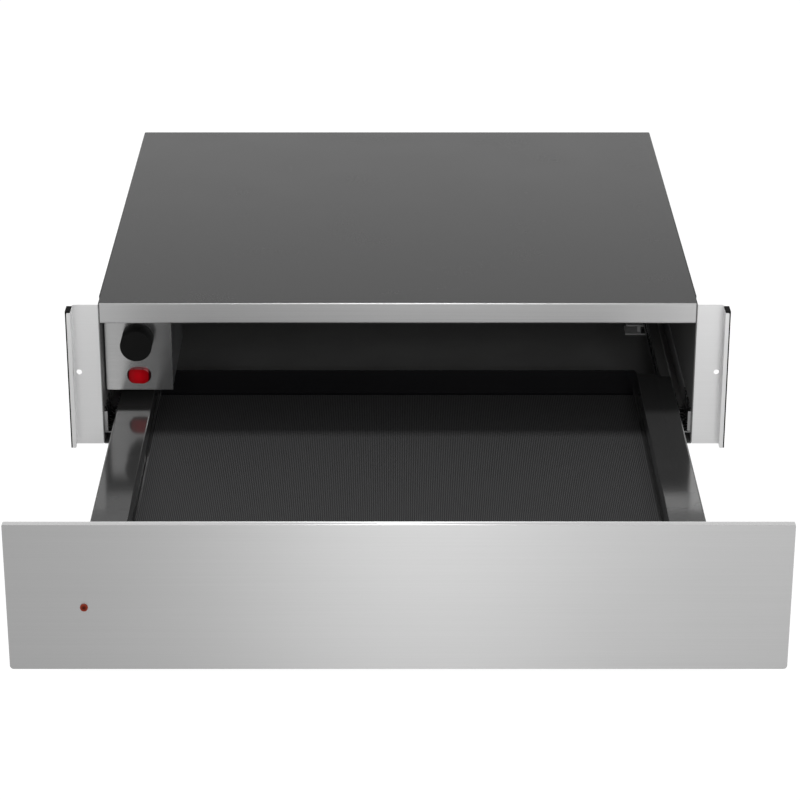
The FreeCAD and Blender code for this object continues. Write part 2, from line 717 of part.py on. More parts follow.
def make_ball_cage(label, advance, strip_profile, ball, ball_x, ball_z, start, length):
    """Ball retainer of one race: a thin channel with two rows of balls held in its arms."""
    strip = Piece(f"{label}_strip", finished=False)
    strip.add("strip", "y", start, length, strip_profile)
    balls = []
    margin = 8
    for row in (LEFT, RIGHT):
        for index in range(BALLS_PER_ROW):
            sphere = DOC.addObject("Part::Feature", f"{label}_ball")
            sphere.Shape = ball_shape(ball.value)
            along = start + margin + (length - 2 * margin) * index / (BALLS_PER_ROW - 1)
            bind(sphere, "Placement.Base.x", ball_x)
            bind(sphere, "Placement.Base.y", along)
            bind(sphere, "Placement.Base.z", SIZE.slide_z + ball_z * row)
            balls.append(sphere)
    cage = DOC.addObject("Part::MultiFuse", label)
    cage.Label = label
    cage.Shapes = [strip.body] + balls
    set_out(cage, advance)
    return cage


def make_ball_cages(name, side):
    """Retainers of the outer and the inner race; each rolls at half the speed of its own pair."""
    wall = SIZE.tray_half * side
    half = SIZE.slide_half
    outer_strip = channel(wall - 1.35 * side, -side, 6.05, half - 2.15, 0.7)
    make_ball_cage(f"{name}_outer_ball_cage", SIZE.travel / 4, outer_strip,
                   SIZE.ball_outer, wall - 5.0 * side, half - 2.5, 116.0, 236.0)
    inner_strip = channel(wall - 3.7 * side, -side, 4.2, half - 6.0, 0.6)
    make_ball_cage(f"{name}_inner_ball_cage", SIZE.travel * 0.75, inner_strip,
                   SIZE.ball_inner, wall - 6.2 * side, half - 6.3, 124.0, 224.0)


# ---------------------------------------------------------------- drawer

def make_tray():
    """Drawer tray folded from one sheet: sunken well between two flat rims with hemmed edges.

    Its front and rear walls are separate sheets, welded into the ends of the folded one.
    """
    gauge = SIZE.gauge
    outer, well = SIZE.tray_half, SIZE.well_half
    top, floor = SIZE.tray_top, SIZE.tray_floor
    front = -SIZE.lip_reach
    rear = SIZE.tray_rear
    under, low = top - gauge, floor - gauge
    hem, hem_end = under - gauge, outer - SIZE.hem
    piece = Piece("tray", SIZE.travel)
    piece.add("section", "y", front + gauge, rear - front - gauge * 2, polygon(
        (-outer, hem), (-outer, top), (-well, top), (-well, floor), (well, floor), (well, top),
        (outer, top), (outer, hem), (hem_end, hem), (hem_end, under), (well + gauge, under),
        (well + gauge, low), (-well - gauge, low), (-well - gauge, under), (-hem_end, under),
        (-hem_end, hem)))
    piece.round("rim_bends", 1.5, "y", (-outer, top), (-well, top), (well, top), (outer, top))
    piece.round("floor_bends", 1.0, "y", (-well, floor), (well, floor))
    carrier = outer - SIZE.slide_gap
    for name, side in SIDES:
        piece.cut(f"{name}_rim_end", "z", floor, top, polygon(
            ((carrier - 1.1) * side, rear + 1), ((carrier - 1.1) * side, rear - gauge * 1.3),
            ((carrier + 0.8) * side, rear - SIZE.rim_end),
            ((outer + 1) * side, rear - SIZE.rim_end), ((outer + 1) * side, rear + 1)))
    front_wall = Piece("tray_front_wall", SIZE.travel)
    front_wall.add("sheet", "y", front, gauge, rectangle(-outer, low, outer, top))
    rear_wall = Piece("tray_rear_wall", SIZE.travel)
    high = top + SIZE.back_rise
    rear_wall.add("sheet", "y", rear - gauge, gauge, rectangle(
        -well - gauge, low, well + gauge, high))
    rear_wall.bevel("corners", SIZE.back_rise, "y", (-well - gauge, high), (well + gauge, high))
    return piece


def make_tray_carrier(name, side):
    """Angle welded under the tray's rim; the drawer member of the slide is fixed to it."""
    gauge = SIZE.gauge
    face = (SIZE.tray_half - SIZE.slide_gap) * side
    thick = gauge * side
    under = SIZE.tray_top - gauge
    front = gauge - SIZE.lip_reach
    piece = Piece(f"{name}_tray_carrier", SIZE.travel)
    piece.add("angle", "y", front, SIZE.tray_rear - gauge - front, polygon(
        (face, SIZE.tray_floor), (face, under), (face - thick * 9, under),
        (face - thick * 9, under - gauge), (face - thick, under - gauge),
        (face - thick, SIZE.tray_floor)))
    piece.round("bend", gauge, "y", (face, under))
    return piece


def make_mat():
    """Anti-slip mat on the tray floor."""
    half = SIZE.well_half - SIZE.mat_gap
    front = -SIZE.lip_reach + SIZE.gauge + SIZE.mat_gap
    rear = SIZE.tray_rear - SIZE.gauge - SIZE.mat_gap
    piece = Piece("anti_slip_mat", SIZE.travel)
    piece.add("sheet", "z", SIZE.tray_floor, SIZE.mat_gauge, rectangle(-half, front, half, rear))
    piece.round("corners", 3, "z", (-half, front), (half, front), (-half, rear), (half, rear))
    return piece


def make_front_panel():
    """Stainless front: a shallow pan whose folded edges point to the rear."""
    gauge = SIZE.gauge
    half = SIZE.panel_width / 2
    low = SIZE.panel_low
    high = low + SIZE.panel_height
    front = -SIZE.lip_reach - SIZE.panel_depth
    corner = SIZE.panel_corner
    piece = Piece("front_panel", SIZE.travel)
    piece.add("blank", "y", front, SIZE.panel_depth, rectangle(-half, low, half, high))
    piece.round("lower_corners", corner, "y", (-half, low), (half, low))
    piece.round("upper_corners", corner / 3, "y", (-half, high), (half, high))
    piece.cut("pan", "y", front + gauge, SIZE.panel_depth, rectangle(
        gauge - half, low + gauge, half - gauge, high - gauge))
    piece.cut("lens_hole", "y", front - 1, gauge + 2, disc(
        SIZE.lens_x, SIZE.lens_z, SIZE.lens_bore / 2))
    return piece


def make_panel_core():
    """Fibre board that fills the pan and keeps the steel skin flat."""
    gauge = SIZE.gauge
    half = SIZE.panel_width / 2 - gauge * 3
    low = SIZE.panel_low + gauge * 3
    front = -SIZE.lip_reach - SIZE.panel_depth + gauge
    piece = Piece("panel_core", SIZE.travel)
    piece.add("board", "y", front, SIZE.panel_depth - gauge * 2, rectangle(
        -half, low, half, low + SIZE.panel_height - gauge * 6))
    piece.cut("lens_hole", "y", front - 1, SIZE.panel_depth, rectangle(
        SIZE.lens_x - 6, SIZE.lens_z - 6, SIZE.lens_x + 6, SIZE.lens_z + 6))
    piece.cut("screw_holes", "y", front + 2, SIZE.panel_depth, *[
        hexagon(x, z, SCREW_RADIUS) for x in PANEL_SCREW_X for z in PANEL_SCREW_HEIGHTS])
    return piece


def make_panel_lining():
    """Inner sheet that closes the pan towards the drawer."""
    gauge = SIZE.gauge
    half = SIZE.panel_width / 2 - gauge - 0.2
    low = SIZE.panel_low + gauge + 0.2
    back = -SIZE.lip_reach
    piece = Piece("panel_lining", SIZE.travel)
    piece.add("sheet", "y", back - gauge, gauge, rectangle(
        -half, low, half, low + SIZE.panel_height - gauge * 2 - 0.4))
    piece.cut("lens_hole", "y", back - gauge - 1, gauge + 2, disc(SIZE.lens_x, SIZE.lens_z, 3))
    holes = [hexagon(x, z, SCREW_RADIUS) for x in PANEL_SCREW_X for z in PANEL_SCREW_HEIGHTS]
    piece.cut("screw_holes", "y", back - gauge - 1, gauge + 2, *holes)
    return piece


def make_light_window():
    """Light window: a clear red rod that stands just proud of the panel, with a collar behind it."""
    front = -SIZE.lip_reach - SIZE.panel_depth
    x, z = SIZE.lens_x, SIZE.lens_z
    collar = SIZE.lens_bore / 2 + 1.2
    piece = Piece("light_window", SIZE.travel)
    piece.add("rod", "y", front - 1.1, 9.1, disc(x, z, SIZE.lens_bore / 2 - 0.05))
    piece.add("collar", "y", front + SIZE.gauge, 1.4, rectangle(
        x - collar, z - collar, x + collar, z + collar))
    return piece


def make_panel_bracket(name, side):
    """Angle bracket between the tray's side rail and the panel lining."""
    gauge = SIZE.gauge
    back = -SIZE.lip_reach
    web = (SIZE.tray_half - 1) * side
    inner = (SIZE.tray_half - 12) * side
    rest = SIZE.tray_top
    piece = Piece(f"{name}_panel_bracket", SIZE.travel)
    piece.add("gusset", "x", web if side < 0 else web - gauge, gauge, polygon(
        (back, rest), (60, rest), (60, rest + 3), (-2, rest + 8), (-3, 112), (back, 112)))
    piece.add("foot", "z", rest, gauge, rectangle(inner, back, web, 60))
    piece.add("face", "y", back, gauge, rectangle(inner, rest, web, 112))
    piece.cut("screw_holes", "y", back - 1, gauge + 2, *[
        hexagon(PANEL_SCREW_X[1] * side, z, SCREW_RADIUS) for z in PANEL_SCREW_HEIGHTS])
    return piece


def make_striker():
    """Bent strip on the right tray carrier that meets the latch plunger as the drawer shuts."""
    gauge = SIZE.gauge
    leg = SIZE.tray_half - SIZE.slide_gap - gauge * 2
    near = SIZE.latch_x - 4.5
    far = near + 9
    rear = SIZE.latch_y + 4.7 - SIZE.plunger_reach
    front = rear - 14
    step = SIZE.slide_z - SIZE.slide_half - gauge * 1.7
    piece = Piece("latch_striker", SIZE.travel)
    piece.add("leg", "x", leg, gauge, rectangle(front, step, rear, 30))
    piece.add("step", "z", step, gauge, rectangle(leg, front, far, rear))
    piece.add("tab", "y", rear - 1.5, 1.5, rectangle(near, 3.5, far, step + gauge))
    return piece


# ---------------------------------------------------------------- push latch

def make_latch_housing():
    """Push latch on the casing floor: foot, head plate and the hollow block between them."""
    x, y = SIZE.latch_x, SIZE.latch_y
    low = SIZE.gauge
    half = SIZE.latch_width / 2
    head = SIZE.latch_top - 1.3
    piece = Piece("latch_housing")
    piece.add("foot", "z", low, 1.3, rectangle(x - half, y, x + half, y + SIZE.latch_length))
    piece.add("block", "z", low + 1.3, head - low - 1.3, rectangle(x - 6.5, y + 5, x + 6.5, y + 20))
    piece.add("head", "z", head, 1.3, rectangle(x - half + 1, y + 5, x + half - 1, y + 16))
    piece.cut("bore", "y", y, 19, rectangle(x - 3.3, 2.7, x + 3.3, 7.8))
    return piece


def make_latch_plunger():
    """Sprung plunger of the push latch, with a chamfered nose."""
    x = SIZE.latch_x
    nose = SIZE.latch_y + 5 - SIZE.plunger_reach
    piece = Piece("latch_plunger")
    piece.add("stem", "y", nose, 14, rectangle(x - 3, 3.0, x + 3, 7.5))
    piece.bevel("nose", 1.2, "x", (nose, 7.5), (nose, 3.0))
    return piece


# ---------------------------------------------------------------- fan heater

def make_fan_housing():
    """Hood of the fan heater, above the shut tray, with its inlet grille and side outlets."""
    gauge = SIZE.gauge
    half = SIZE.fan_half
    low, high = SIZE.fan_low, SIZE.fan_high
    front = SIZE.fan_front
    rear = SIZE.casing_depth - gauge * 2
    piece = Piece("fan_housing")
    piece.add("hood", "y", front, rear - front, rectangle(-half, low, half, high))
    piece.round("corners", 6, "y", (-half, low), (half, low), (-half, high), (half, high))
    piece.cut("hollow", "y", front + gauge, rear - front, rectangle(
        gauge * 2 - half, low + gauge * 2, half - gauge * 2, high - gauge * 2))
    slot = piece.cut("inlet_slot", "y", front - 1, gauge + 2, rectangle(-29, 61, -26, 109))
    piece.repeat("inlet_grille", [slot], "x", 55, 9)
    for name, side in SIDES:
        outlet = piece.cut(f"{name}_outlet", "y", front - 1, gauge + 2, rectangle(
            62 * side, 58, 84 * side, 62))
        piece.repeat(f"{name}_outlets", [outlet], "z", 50, 6)
    return piece


def make_fan_motor():
    """Shaded-pole motor: laminated block with cut corners, on two feet from the rear panel."""
    z = SIZE.fan_z
    half = 23
    rear = SIZE.casing_depth - SIZE.gauge * 2
    piece = Piece("fan_motor")
    piece.add("block", "y", 470, 22, rectangle(-half, z - half, half, z + half))
    piece.bevel("corners", 7, "y", (-half, z - half), (half, z - half), (-half, z + half),
                (half, z + half))
    piece.add("coil", "y", 492, 8, rectangle(-16, z - half, 16, z - 4))
    piece.add("strap", "y", 492, 1.5, rectangle(-34, z - 4, 34, z + 12))
    piece.add("feet", "y", 492, rear - 492, rectangle(-34, z - 4, -31, z + 12),
              rectangle(31, z - 4, 34, z + 12))
    piece.cut("shaft_bore", "y", 469, 14, disc(0, z, 2.55))
    return piece


def make_motor_shaft():
    """Motor shaft, journalled in the can and pressed into the impeller's hub."""
    piece = Piece("motor_shaft")
    piece.add("rod", "y", 453, 27, disc(0, SIZE.fan_z, 2.5))
    return piece


def make_fan_impeller():
    """Radial impeller: hub, rear disc and nine blades."""
    radius = SIZE.fan_radius
    piece = Piece("fan_impeller", finished=False)
    piece.add("disc", "y", 464, 1.2, disc(0, 0, radius))
    piece.add("hub", "y", 451.5, 12.5, disc(0, 0, 8))
    blade = piece.add("blade", "y", 450, 14, polygon(
        (13, -2), (14, -2.8), (radius - 0.5, 5.5), (radius - 1.0, 6.6)))
    DOC.recompute()
    fan = piece.body.newObject("PartDesign::PolarPattern", "fan_impeller_blades")
    fan.Originals = [blade]
    axis = next(item for item in piece.body.Origin.OriginFeatures if item.Role == "Y_Axis")
    fan.Axis = (axis, [""])
    fan.Angle = 360
    fan.Occurrences = 9
    piece.body.Tip = fan
    piece.cut("shaft_bore", "y", 453, 12.5, disc(0, 0, 2.5))
    bind(piece.body, "Placement.Base.z", SIZE.fan_z)
    set_out(piece.body)
    return piece


def make_heating_element():
    """Tubular element bent in a wide U around the impeller; flat-sided, with four chords to a bend."""
    radius = SIZE.heater_tube.value / 2
    z = SIZE.fan_z.value
    reach, rise, turn, left, y = 66.0, 37.0, 20.0, -88.0, 457.0
    upper = z + rise
    centre, chords = reach - turn, 4
    bend = [Rotation(Vector(0, 1, 0), 90 * step / chords).multVec(Vector(0, 0, turn))
            for step in range(chords + 1)]
    arm = [Vector(left, y, rise)] + [Vector(centre, y, rise - turn) + point for point in bend]
    lower_arm = [Vector(point.x, y, -point.z) for point in reversed(arm)]
    path = Part.makePolygon([point + Vector(0, 0, z) for point in arm + lower_arm])
    rim = [Rotation(Vector(1, 0, 0), 45 * step + 22.5).multVec(Vector(0, radius, 0))
           for step in range(9)]
    section = Part.makePolygon([Vector(left, y, upper) + point for point in rim])
    element = DOC.addObject("Part::Feature", "heating_element")
    element.Label = "heating_element"
    element.Shape = path.makePipeShell([section], True, False, 1)
    set_out(element)
    return element


def make_terminal_block():
    """Mains terminal block beside the cable entry."""
    rear = SIZE.casing_depth - SIZE.gauge * 2
    piece = Piece("terminal_block")
    piece.add("block", "y", rear - 20, 20, rectangle(-182, 84, -146, 104))
    piece.cut("ways", "y", rear - 21, 15, *[
        rectangle(x - 3, 91, x + 3, 97) for x in (-174, -164, -154)])
    return piece


def make_cable_bush():
    """Cable bush in the rear panel's entry, with a hexagonal rim outside it."""
    plate = SIZE.casing_depth - SIZE.gauge * 2
    piece = Piece("cable_bush")
    piece.add("neck", "y", plate - 1.5, SIZE.gauge + 1.5, disc(-200, 70, 7.9))
    piece.add("rim", "y", plate + SIZE.gauge, 1.5, hexagon(-200, 70, 11.5))
    piece.cut("bore", "y", plate - 3, 8, disc(-200, 70, 4.5))
    return piece


# ---------------------------------------------------------------- fasteners

def make_fasteners():
    """The screws of each joint, one group per size and place."""
    rear = SIZE.casing_depth.value
    skirt = SIZE.casing_height.value - SIZE.hang.value / 2
    leg = SIZE.flange_inner.value - 0.2 + SIZE.gauge.value
    bracket = SIZE.gauge.value - SIZE.lip_reach.value
    forward = Vector(0, -1, 0)
    screw_group("cover_screws", [(Vector(x, rear, skirt), forward) for x in COVER_SCREW_X], 2.0)
    screw_group("flange_screws", [
        (Vector(leg * side, FLANGE_SCREW_Y, z), Vector(-side, 0, 0))
        for _, side in SIDES for z in FLANGE_SCREW_HEIGHTS], 2.0)
    screw_group("panel_screws", [
        (Vector(x, bracket, z), forward) for x in PANEL_SCREW_X for z in PANEL_SCREW_HEIGHTS],
        3.5, SIZE.travel)


def make_assembly():
    fill_sheet()
    make_casing_base()
    make_top_cover()
    make_rear_panel()
    make_front_rail()
    for name, side in SIDES:
        make_flange(name, side)
        make_edge_seal(name, side)
        make_slide_bracket(name, side)
        make_slide_members(name, side)
        make_ball_cages(name, side)
        make_tray_carrier(name, side)
        make_panel_bracket(name, side)
    make_control_plate()
    make_control_box()
    make_thermostat()
    make_thermostat_shaft()
    make_knob()
    make_switch_housing()
    make_rocker()
    make_tray()
    make_mat()
    make_front_panel()
    make_panel_core()
    make_panel_lining()
    make_light_window()
    make_striker()
    make_latch_housing()
    make_latch_plunger()
    make_fan_housing()
    make_fan_motor()
    make_motor_shaft()
    make_fan_impeller()
    make_heating_element()
    make_terminal_block()
    make_cable_bush()
    make_fasteners()
    DOC.recompute()


def check_document():
    """Stops before anything is written if an object failed or a piece has no valid solid."""
    for item in DOC.Objects:
        if any(word in ("Invalid", "Error") for word in item.State):
            raise RuntimeError(f"{item.Name} failed: {item.State}")
    for piece in PIECES:
        if piece.Shape.isNull() or not piece.Shape.isValid():
            raise RuntimeError(f"{piece.Label} has no valid shape")


def write_pieces():
    os.makedirs("parts", exist_ok=True)
    for piece in PIECES:
        piece.Shape.exportStep(f"parts/{piece.Label}.step")
        box = piece.Shape.BoundBox
        print(f"{piece.Label:24} solids {len(piece.Shape.Solids)}"
              f"  x {box.XMin:8.2f} {box.XMax:8.2f}  y {box.YMin:8.2f} {box.YMax:8.2f}"
              f"  z {box.ZMin:7.2f} {box.ZMax:7.2f}  cm3 {piece.Shape.Volume / 1000:8.2f}")


make_assembly()
check_document()
write_pieces()
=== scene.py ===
"""Built-in warming drawer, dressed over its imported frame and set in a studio.

The frame gives every rigid part in place, in metres. This script gives each of them its
finish, adds the small pieces that stay out of the frame, and sets the stage, lamps and camera.
"""
import logging
import math
from dataclasses import dataclass
from enum import Enum
from typing import Any, Dict, List, Optional, Sequence, Tuple, Union

import bmesh
import bpy
import numpy as np
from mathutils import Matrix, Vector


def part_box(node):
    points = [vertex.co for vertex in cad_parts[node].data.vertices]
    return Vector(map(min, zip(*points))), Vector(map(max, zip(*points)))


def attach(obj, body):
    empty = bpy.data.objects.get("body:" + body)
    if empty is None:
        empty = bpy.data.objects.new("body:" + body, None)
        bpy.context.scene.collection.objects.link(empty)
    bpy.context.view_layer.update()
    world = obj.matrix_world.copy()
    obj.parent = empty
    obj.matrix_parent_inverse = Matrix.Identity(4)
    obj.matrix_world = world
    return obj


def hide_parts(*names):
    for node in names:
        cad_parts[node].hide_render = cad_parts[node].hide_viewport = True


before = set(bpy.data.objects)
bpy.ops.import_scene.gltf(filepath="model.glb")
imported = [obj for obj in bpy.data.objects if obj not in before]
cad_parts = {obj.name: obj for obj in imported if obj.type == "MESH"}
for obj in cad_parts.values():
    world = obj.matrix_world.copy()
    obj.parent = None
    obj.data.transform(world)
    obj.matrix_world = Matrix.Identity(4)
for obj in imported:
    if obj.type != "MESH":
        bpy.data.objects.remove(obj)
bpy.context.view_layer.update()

LOG = logging.getLogger("warming_drawer")

Colour = Tuple[float, float, float]
Point = Tuple[float, float, float]
Span = Tuple[float, float]
Surface = Tuple[np.ndarray, np.ndarray]

MM = 0.001
FULL_TURN = 2.0 * math.pi
WHITE = (1.0, 1.0, 1.0, 1.0)
# Sockets of a Mix node that mixes colours: three inputs and the output.
MIX_FACTOR, MIX_LOW, MIX_HIGH, MIX_RESULT = 0, 6, 7, 2
# Height of the finest bumps, and the span in which most of a fractal noise lies.
SKIN = 0.05 * MM
MID_SPAN = (0.3, 0.7)
# Points nearer than this are one point: in a new piece, and in a node that is softened.
PIECE_WELD = 1e-7
NODE_WELD = 1e-6


def grey(level: float) -> Colour:
    """Neutral colour."""
    return (level, level, level)


def scaled(colour: Colour, factor: float) -> Colour:
    """Colour with each channel times a number."""
    return tuple(channel * factor for channel in colour)


# ---------------------------------------------------------------- shader graph

class Wire:
    """One output socket of a finish's node tree; arithmetic on it adds Math nodes."""

    def __init__(self, graph: "Graph", socket: bpy.types.NodeSocket) -> None:
        """Keeps the socket and the graph that it belongs to."""
        self.graph = graph
        self.socket = socket

    def _math(self, operation: str, first: "Value", second: "Value" = 0.0) -> "Wire":
        """Adds one Math node for two values."""
        return self.graph.wire("ShaderNodeMath", {"operation": operation}, {0: first, 1: second})

    def __add__(self, other: "Value") -> "Wire":
        """Sum."""
        return self._math("ADD", self, other)

    def __sub__(self, other: "Value") -> "Wire":
        """Difference."""
        return self._math("SUBTRACT", self, other)

    def __rsub__(self, other: "Value") -> "Wire":
        """Difference with a plain number first, as in 1 - mask."""
        return self._math("SUBTRACT", other, self)

    def __mul__(self, other: "Value") -> "Wire":
        """Product."""
        return self._math("MULTIPLY", self, other)

    def __gt__(self, other: "Value") -> "Wire":
        """1 where this is the larger, else 0."""
        return self._math("GREATER_THAN", self, other)

    __radd__ = __add__
    __rmul__ = __mul__

    def sine(self) -> "Wire":
        """Sine of an angle in radians."""
        return self._math("SINE", self)

    def swing(self, width: float) -> "Wire":
        """Noise between 0 and 1 as a swing of this width about 0."""
        return (self - 0.5) * width

    def ramp(self, low: float, high: float) -> "Wire":
        """Smooth step.

        Args:
            low: value at which it is 0.
            high: value at which it is 1; it may be the smaller one.

        Returns:
            A number between 0 and 1.
        """
        return self.graph.wire(
            "ShaderNodeMapRange", {"interpolation_type": "SMOOTHSTEP"},
            {"Value": self, "From Min": low, "From Max": high}, "Result")


Value = Union[float, Wire]
Settings = Dict[str, Any]
Inputs = Dict[Union[str, int], Any]


class Graph:
    """Node tree of one finish, or of the surroundings."""

    def __init__(self, owner: Union[bpy.types.Material, bpy.types.World], end: str) -> None:
        """Empties the owner's tree and gives it its output node.

        Args:
            owner: the material or world.
            end: type of the output node.
        """
        self.owner = owner
        owner.use_nodes = True
        self.tree = owner.node_tree
        self.tree.nodes.clear()
        self.output = self.tree.nodes.new(end)

    @classmethod
    def of_material(cls, name: str) -> "Graph":
        """Tree of a new material."""
        return cls(bpy.data.materials.new(name), "ShaderNodeOutputMaterial")

    @classmethod
    def of_world(cls, name: str) -> "Graph":
        """Tree of a new world."""
        return cls(bpy.data.worlds.new(name), "ShaderNodeOutputWorld")

    def node(self, kind: str, settings: Optional[Settings] = None,
             inputs: Optional[Inputs] = None) -> bpy.types.Node:
        """Adds any node.

        Args:
            kind: the node's type.
            settings: attributes, which are set first.
            inputs: values or wires, by the name or the index of the socket.

        Returns:
            The new node.
        """
        made = self.tree.nodes.new(kind)
        for key, value in (settings or {}).items():
            setattr(made, key, value)
        for key, value in (inputs or {}).items():
            if isinstance(value, Wire):
                self.tree.links.new(value.socket, made.inputs[key])
            else:
                made.inputs[key].default_value = value
        return made

    def wire(self, kind: str, settings: Optional[Settings] = None,
             inputs: Optional[Inputs] = None, output: Union[str, int] = 0) -> Wire:
        """Adds a node as node() does, and returns one of its outputs."""
        return Wire(self, self.node(kind, settings, inputs).outputs[output])

    def place(self) -> Wire:
        """Position on the object, in metres of the frame."""
        return self.wire("ShaderNodeTexCoord", output="Object")

    def stretched(self, scale: Point) -> Wire:
        """Position scaled by axis, so that a pattern is drawn out along the smaller numbers."""
        return self.wire("ShaderNodeMapping", {"vector_type": "POINT"},
                         {"Vector": self.place(), "Scale": scale})

    def noise(self, scale: float = 1.0, detail: float = 2.0, roughness: float = 0.5,
              vector: Optional[Wire] = None) -> Wire:
        """Fractal noise.

        Args:
            scale: its features in a unit of the vector.
            detail: octaves.
            roughness: weight of the finer octaves.
            vector: where it is taken, which is the position on the object by default.

        Returns:
            A number between 0 and 1.
        """
        return self.wire("ShaderNodeTexNoise", {"noise_dimensions": "3D"}, {
            "Vector": self.place() if vector is None else vector, "Scale": scale,
            "Detail": detail, "Roughness": roughness}, "Fac")

    def axes(self, vector: Optional[Wire] = None) -> Tuple[Wire, Wire, Wire]:
        """Coordinates of a vector.

        Args:
            vector: the vector, which is the position on the object by default.

        Returns:
            Its x, y and z.
        """
        split = self.node("ShaderNodeSeparateXYZ", None,
                          {"Vector": self.place() if vector is None else vector})
        return tuple(Wire(self, split.outputs[axis]) for axis in ("X", "Y", "Z"))

    def upward(self) -> Wire:
        """How far the surface faces up: 1 on a level top, 0 on a wall."""
        return self.axes(self.wire("ShaderNodeNewGeometry", output="Normal"))[2]

    def blend(self, factor: Value, low: Union[Colour, Wire], high: Union[Colour, Wire]) -> Wire:
        """Colour between two colours.

        Args:
            factor: 0 for the first, 1 for the second.
            low: first colour.
            high: second colour.

        Returns:
            The mixed colour.
        """
        ends = [end if isinstance(end, Wire) else (*end, 1.0) for end in (low, high)]
        return self.wire("ShaderNodeMix", {"data_type": "RGBA"},
                         {MIX_FACTOR: factor, MIX_LOW: ends[0], MIX_HIGH: ends[1]}, MIX_RESULT)

    def tones(self, mask: Value, colour: Colour, factors: Span) -> Wire:
        """Colour that a mask takes from one multiple of itself to another."""
        return self.blend(mask, *(scaled(colour, factor) for factor in factors))

    def bump(self, height: Value, strength: float, distance: float = SKIN) -> Wire:
        """Bumped normal for a height between 0 and 1."""
        return self.wire("ShaderNodeBump", None, {
            "Height": height, "Strength": strength, "Distance": distance}, "Normal")

    def close(self, surface: Wire) -> None:
        """Joins the last shader to the output node."""
        self.tree.links.new(surface.socket, self.output.inputs["Surface"])

    def finish(self, inputs: Inputs) -> bpy.types.Material:
        """Closes the tree with a Principled shader.

        Args:
            inputs: values or wires of the shader's sockets.

        Returns:
            The finished material.
        """
        self.close(self.wire("ShaderNodeBsdfPrincipled", None, inputs, "BSDF"))
        return self.owner


# ---------------------------------------------------------------- finishes

@dataclass(frozen=True)
class BrushedSteel:
    """Sheet steel brushed along x, with a soft sheen across it and faint handling marks.

    Where the gain of the top highlight is more than 1, faces that look up are painted that much
    brighter: a painted highlight.
    """

    name: str
    tint: Colour
    roughness: float
    anisotropy: float
    depth: float = 0.03
    contrast: float = 0.03
    top_highlight_gain: float = 1.0
    facing_up: Span = (0.6, 0.95)
    stretch: Point = (5.0, 1500.0, 1500.0)
    sheen_turn: float = 0.25
    smudge: float = 0.03

    def material(self) -> bpy.types.Material:
        """Long noise streaks drive colour, roughness and bump; slow noise adds smudges.

        Returns:
            The finished material.
        """
        graph = Graph.of_material(self.name)
        streaks = graph.noise(detail=4.0, roughness=0.65, vector=graph.stretched(self.stretch))
        smudge = graph.noise(scale=9.0)
        colour = graph.tones(streaks.ramp(*MID_SPAN), self.tint,
                             (1.0 - self.contrast, 1.0 + self.contrast))
        # Painted highlight: faces that look up are lightened in the base colour, where the lamps
        # catch them.
        if self.top_highlight_gain > 1.0:
            top_highlight = tuple(min(1.0, channel) for channel in scaled(self.tint, self.top_highlight_gain))
            colour = graph.blend(graph.upward().ramp(*self.facing_up), colour, top_highlight)
        return graph.finish({
            "Base Color": colour,
            "Metallic": 1.0,
            "Roughness": (self.roughness + streaks.swing(2.0 * self.contrast)
                          + smudge.swing(self.smudge)),
            "Anisotropic": self.anisotropy,
            "Anisotropic Rotation": self.sheen_turn,
            "Normal": graph.bump(streaks, self.depth)})


@dataclass(frozen=True)
class Enamel:
    """Sprayed and stoved coating on sheet steel, with a fine orange peel."""

    name: str
    colour: Colour
    roughness: float
    index: float
    peel: float = 0.04
    peel_height: float = 0.1 * MM
    shades: Span = (0.93, 1.07)
    gloss_by_cloud: float = 0.05
    gloss_by_peel: float = 0.04

    def material(self) -> bpy.types.Material:
        """Fine noise gives the peel, and slow noise a slight change of gloss.

        Returns:
            The finished material.
        """
        graph = Graph.of_material(self.name)
        peel = graph.noise(scale=650.0, detail=1.0)
        cloud = graph.noise(scale=14.0, detail=3.0)
        return graph.finish({
            "Base Color": graph.tones(cloud.ramp(*MID_SPAN), self.colour, self.shades),
            "Roughness": (self.roughness + cloud.swing(self.gloss_by_cloud)
                          + peel.swing(self.gloss_by_peel)),
            "IOR": self.index,
            "Normal": graph.bump(peel, self.peel, self.peel_height)})


@dataclass(frozen=True)
class Plastic:
    """Moulded plastic with the fine spark grain of its tool."""

    name: str
    colour: Colour
    roughness: float = 0.4
    spark: float = 0.12
    specular: float = 0.5
    shades: Span = (0.9, 1.0)
    flow_span: Span = (0.25, 0.75)
    gloss_by_spark: float = 0.12

    def material(self) -> bpy.types.Material:
        """Fine noise for the spark grain, slow noise for the moulding's flow.

        Returns:
            The finished material.
        """
        graph = Graph.of_material(self.name)
        spark = graph.noise(scale=2600.0)
        flow = graph.noise(scale=60.0)
        return graph.finish({
            "Base Color": graph.tones(flow.ramp(*self.flow_span), self.colour, self.shades),
            "Roughness": self.roughness + spark.swing(self.gloss_by_spark),
            "Specular IOR Level": self.specular,
            "Normal": graph.bump(spark, self.spark)})


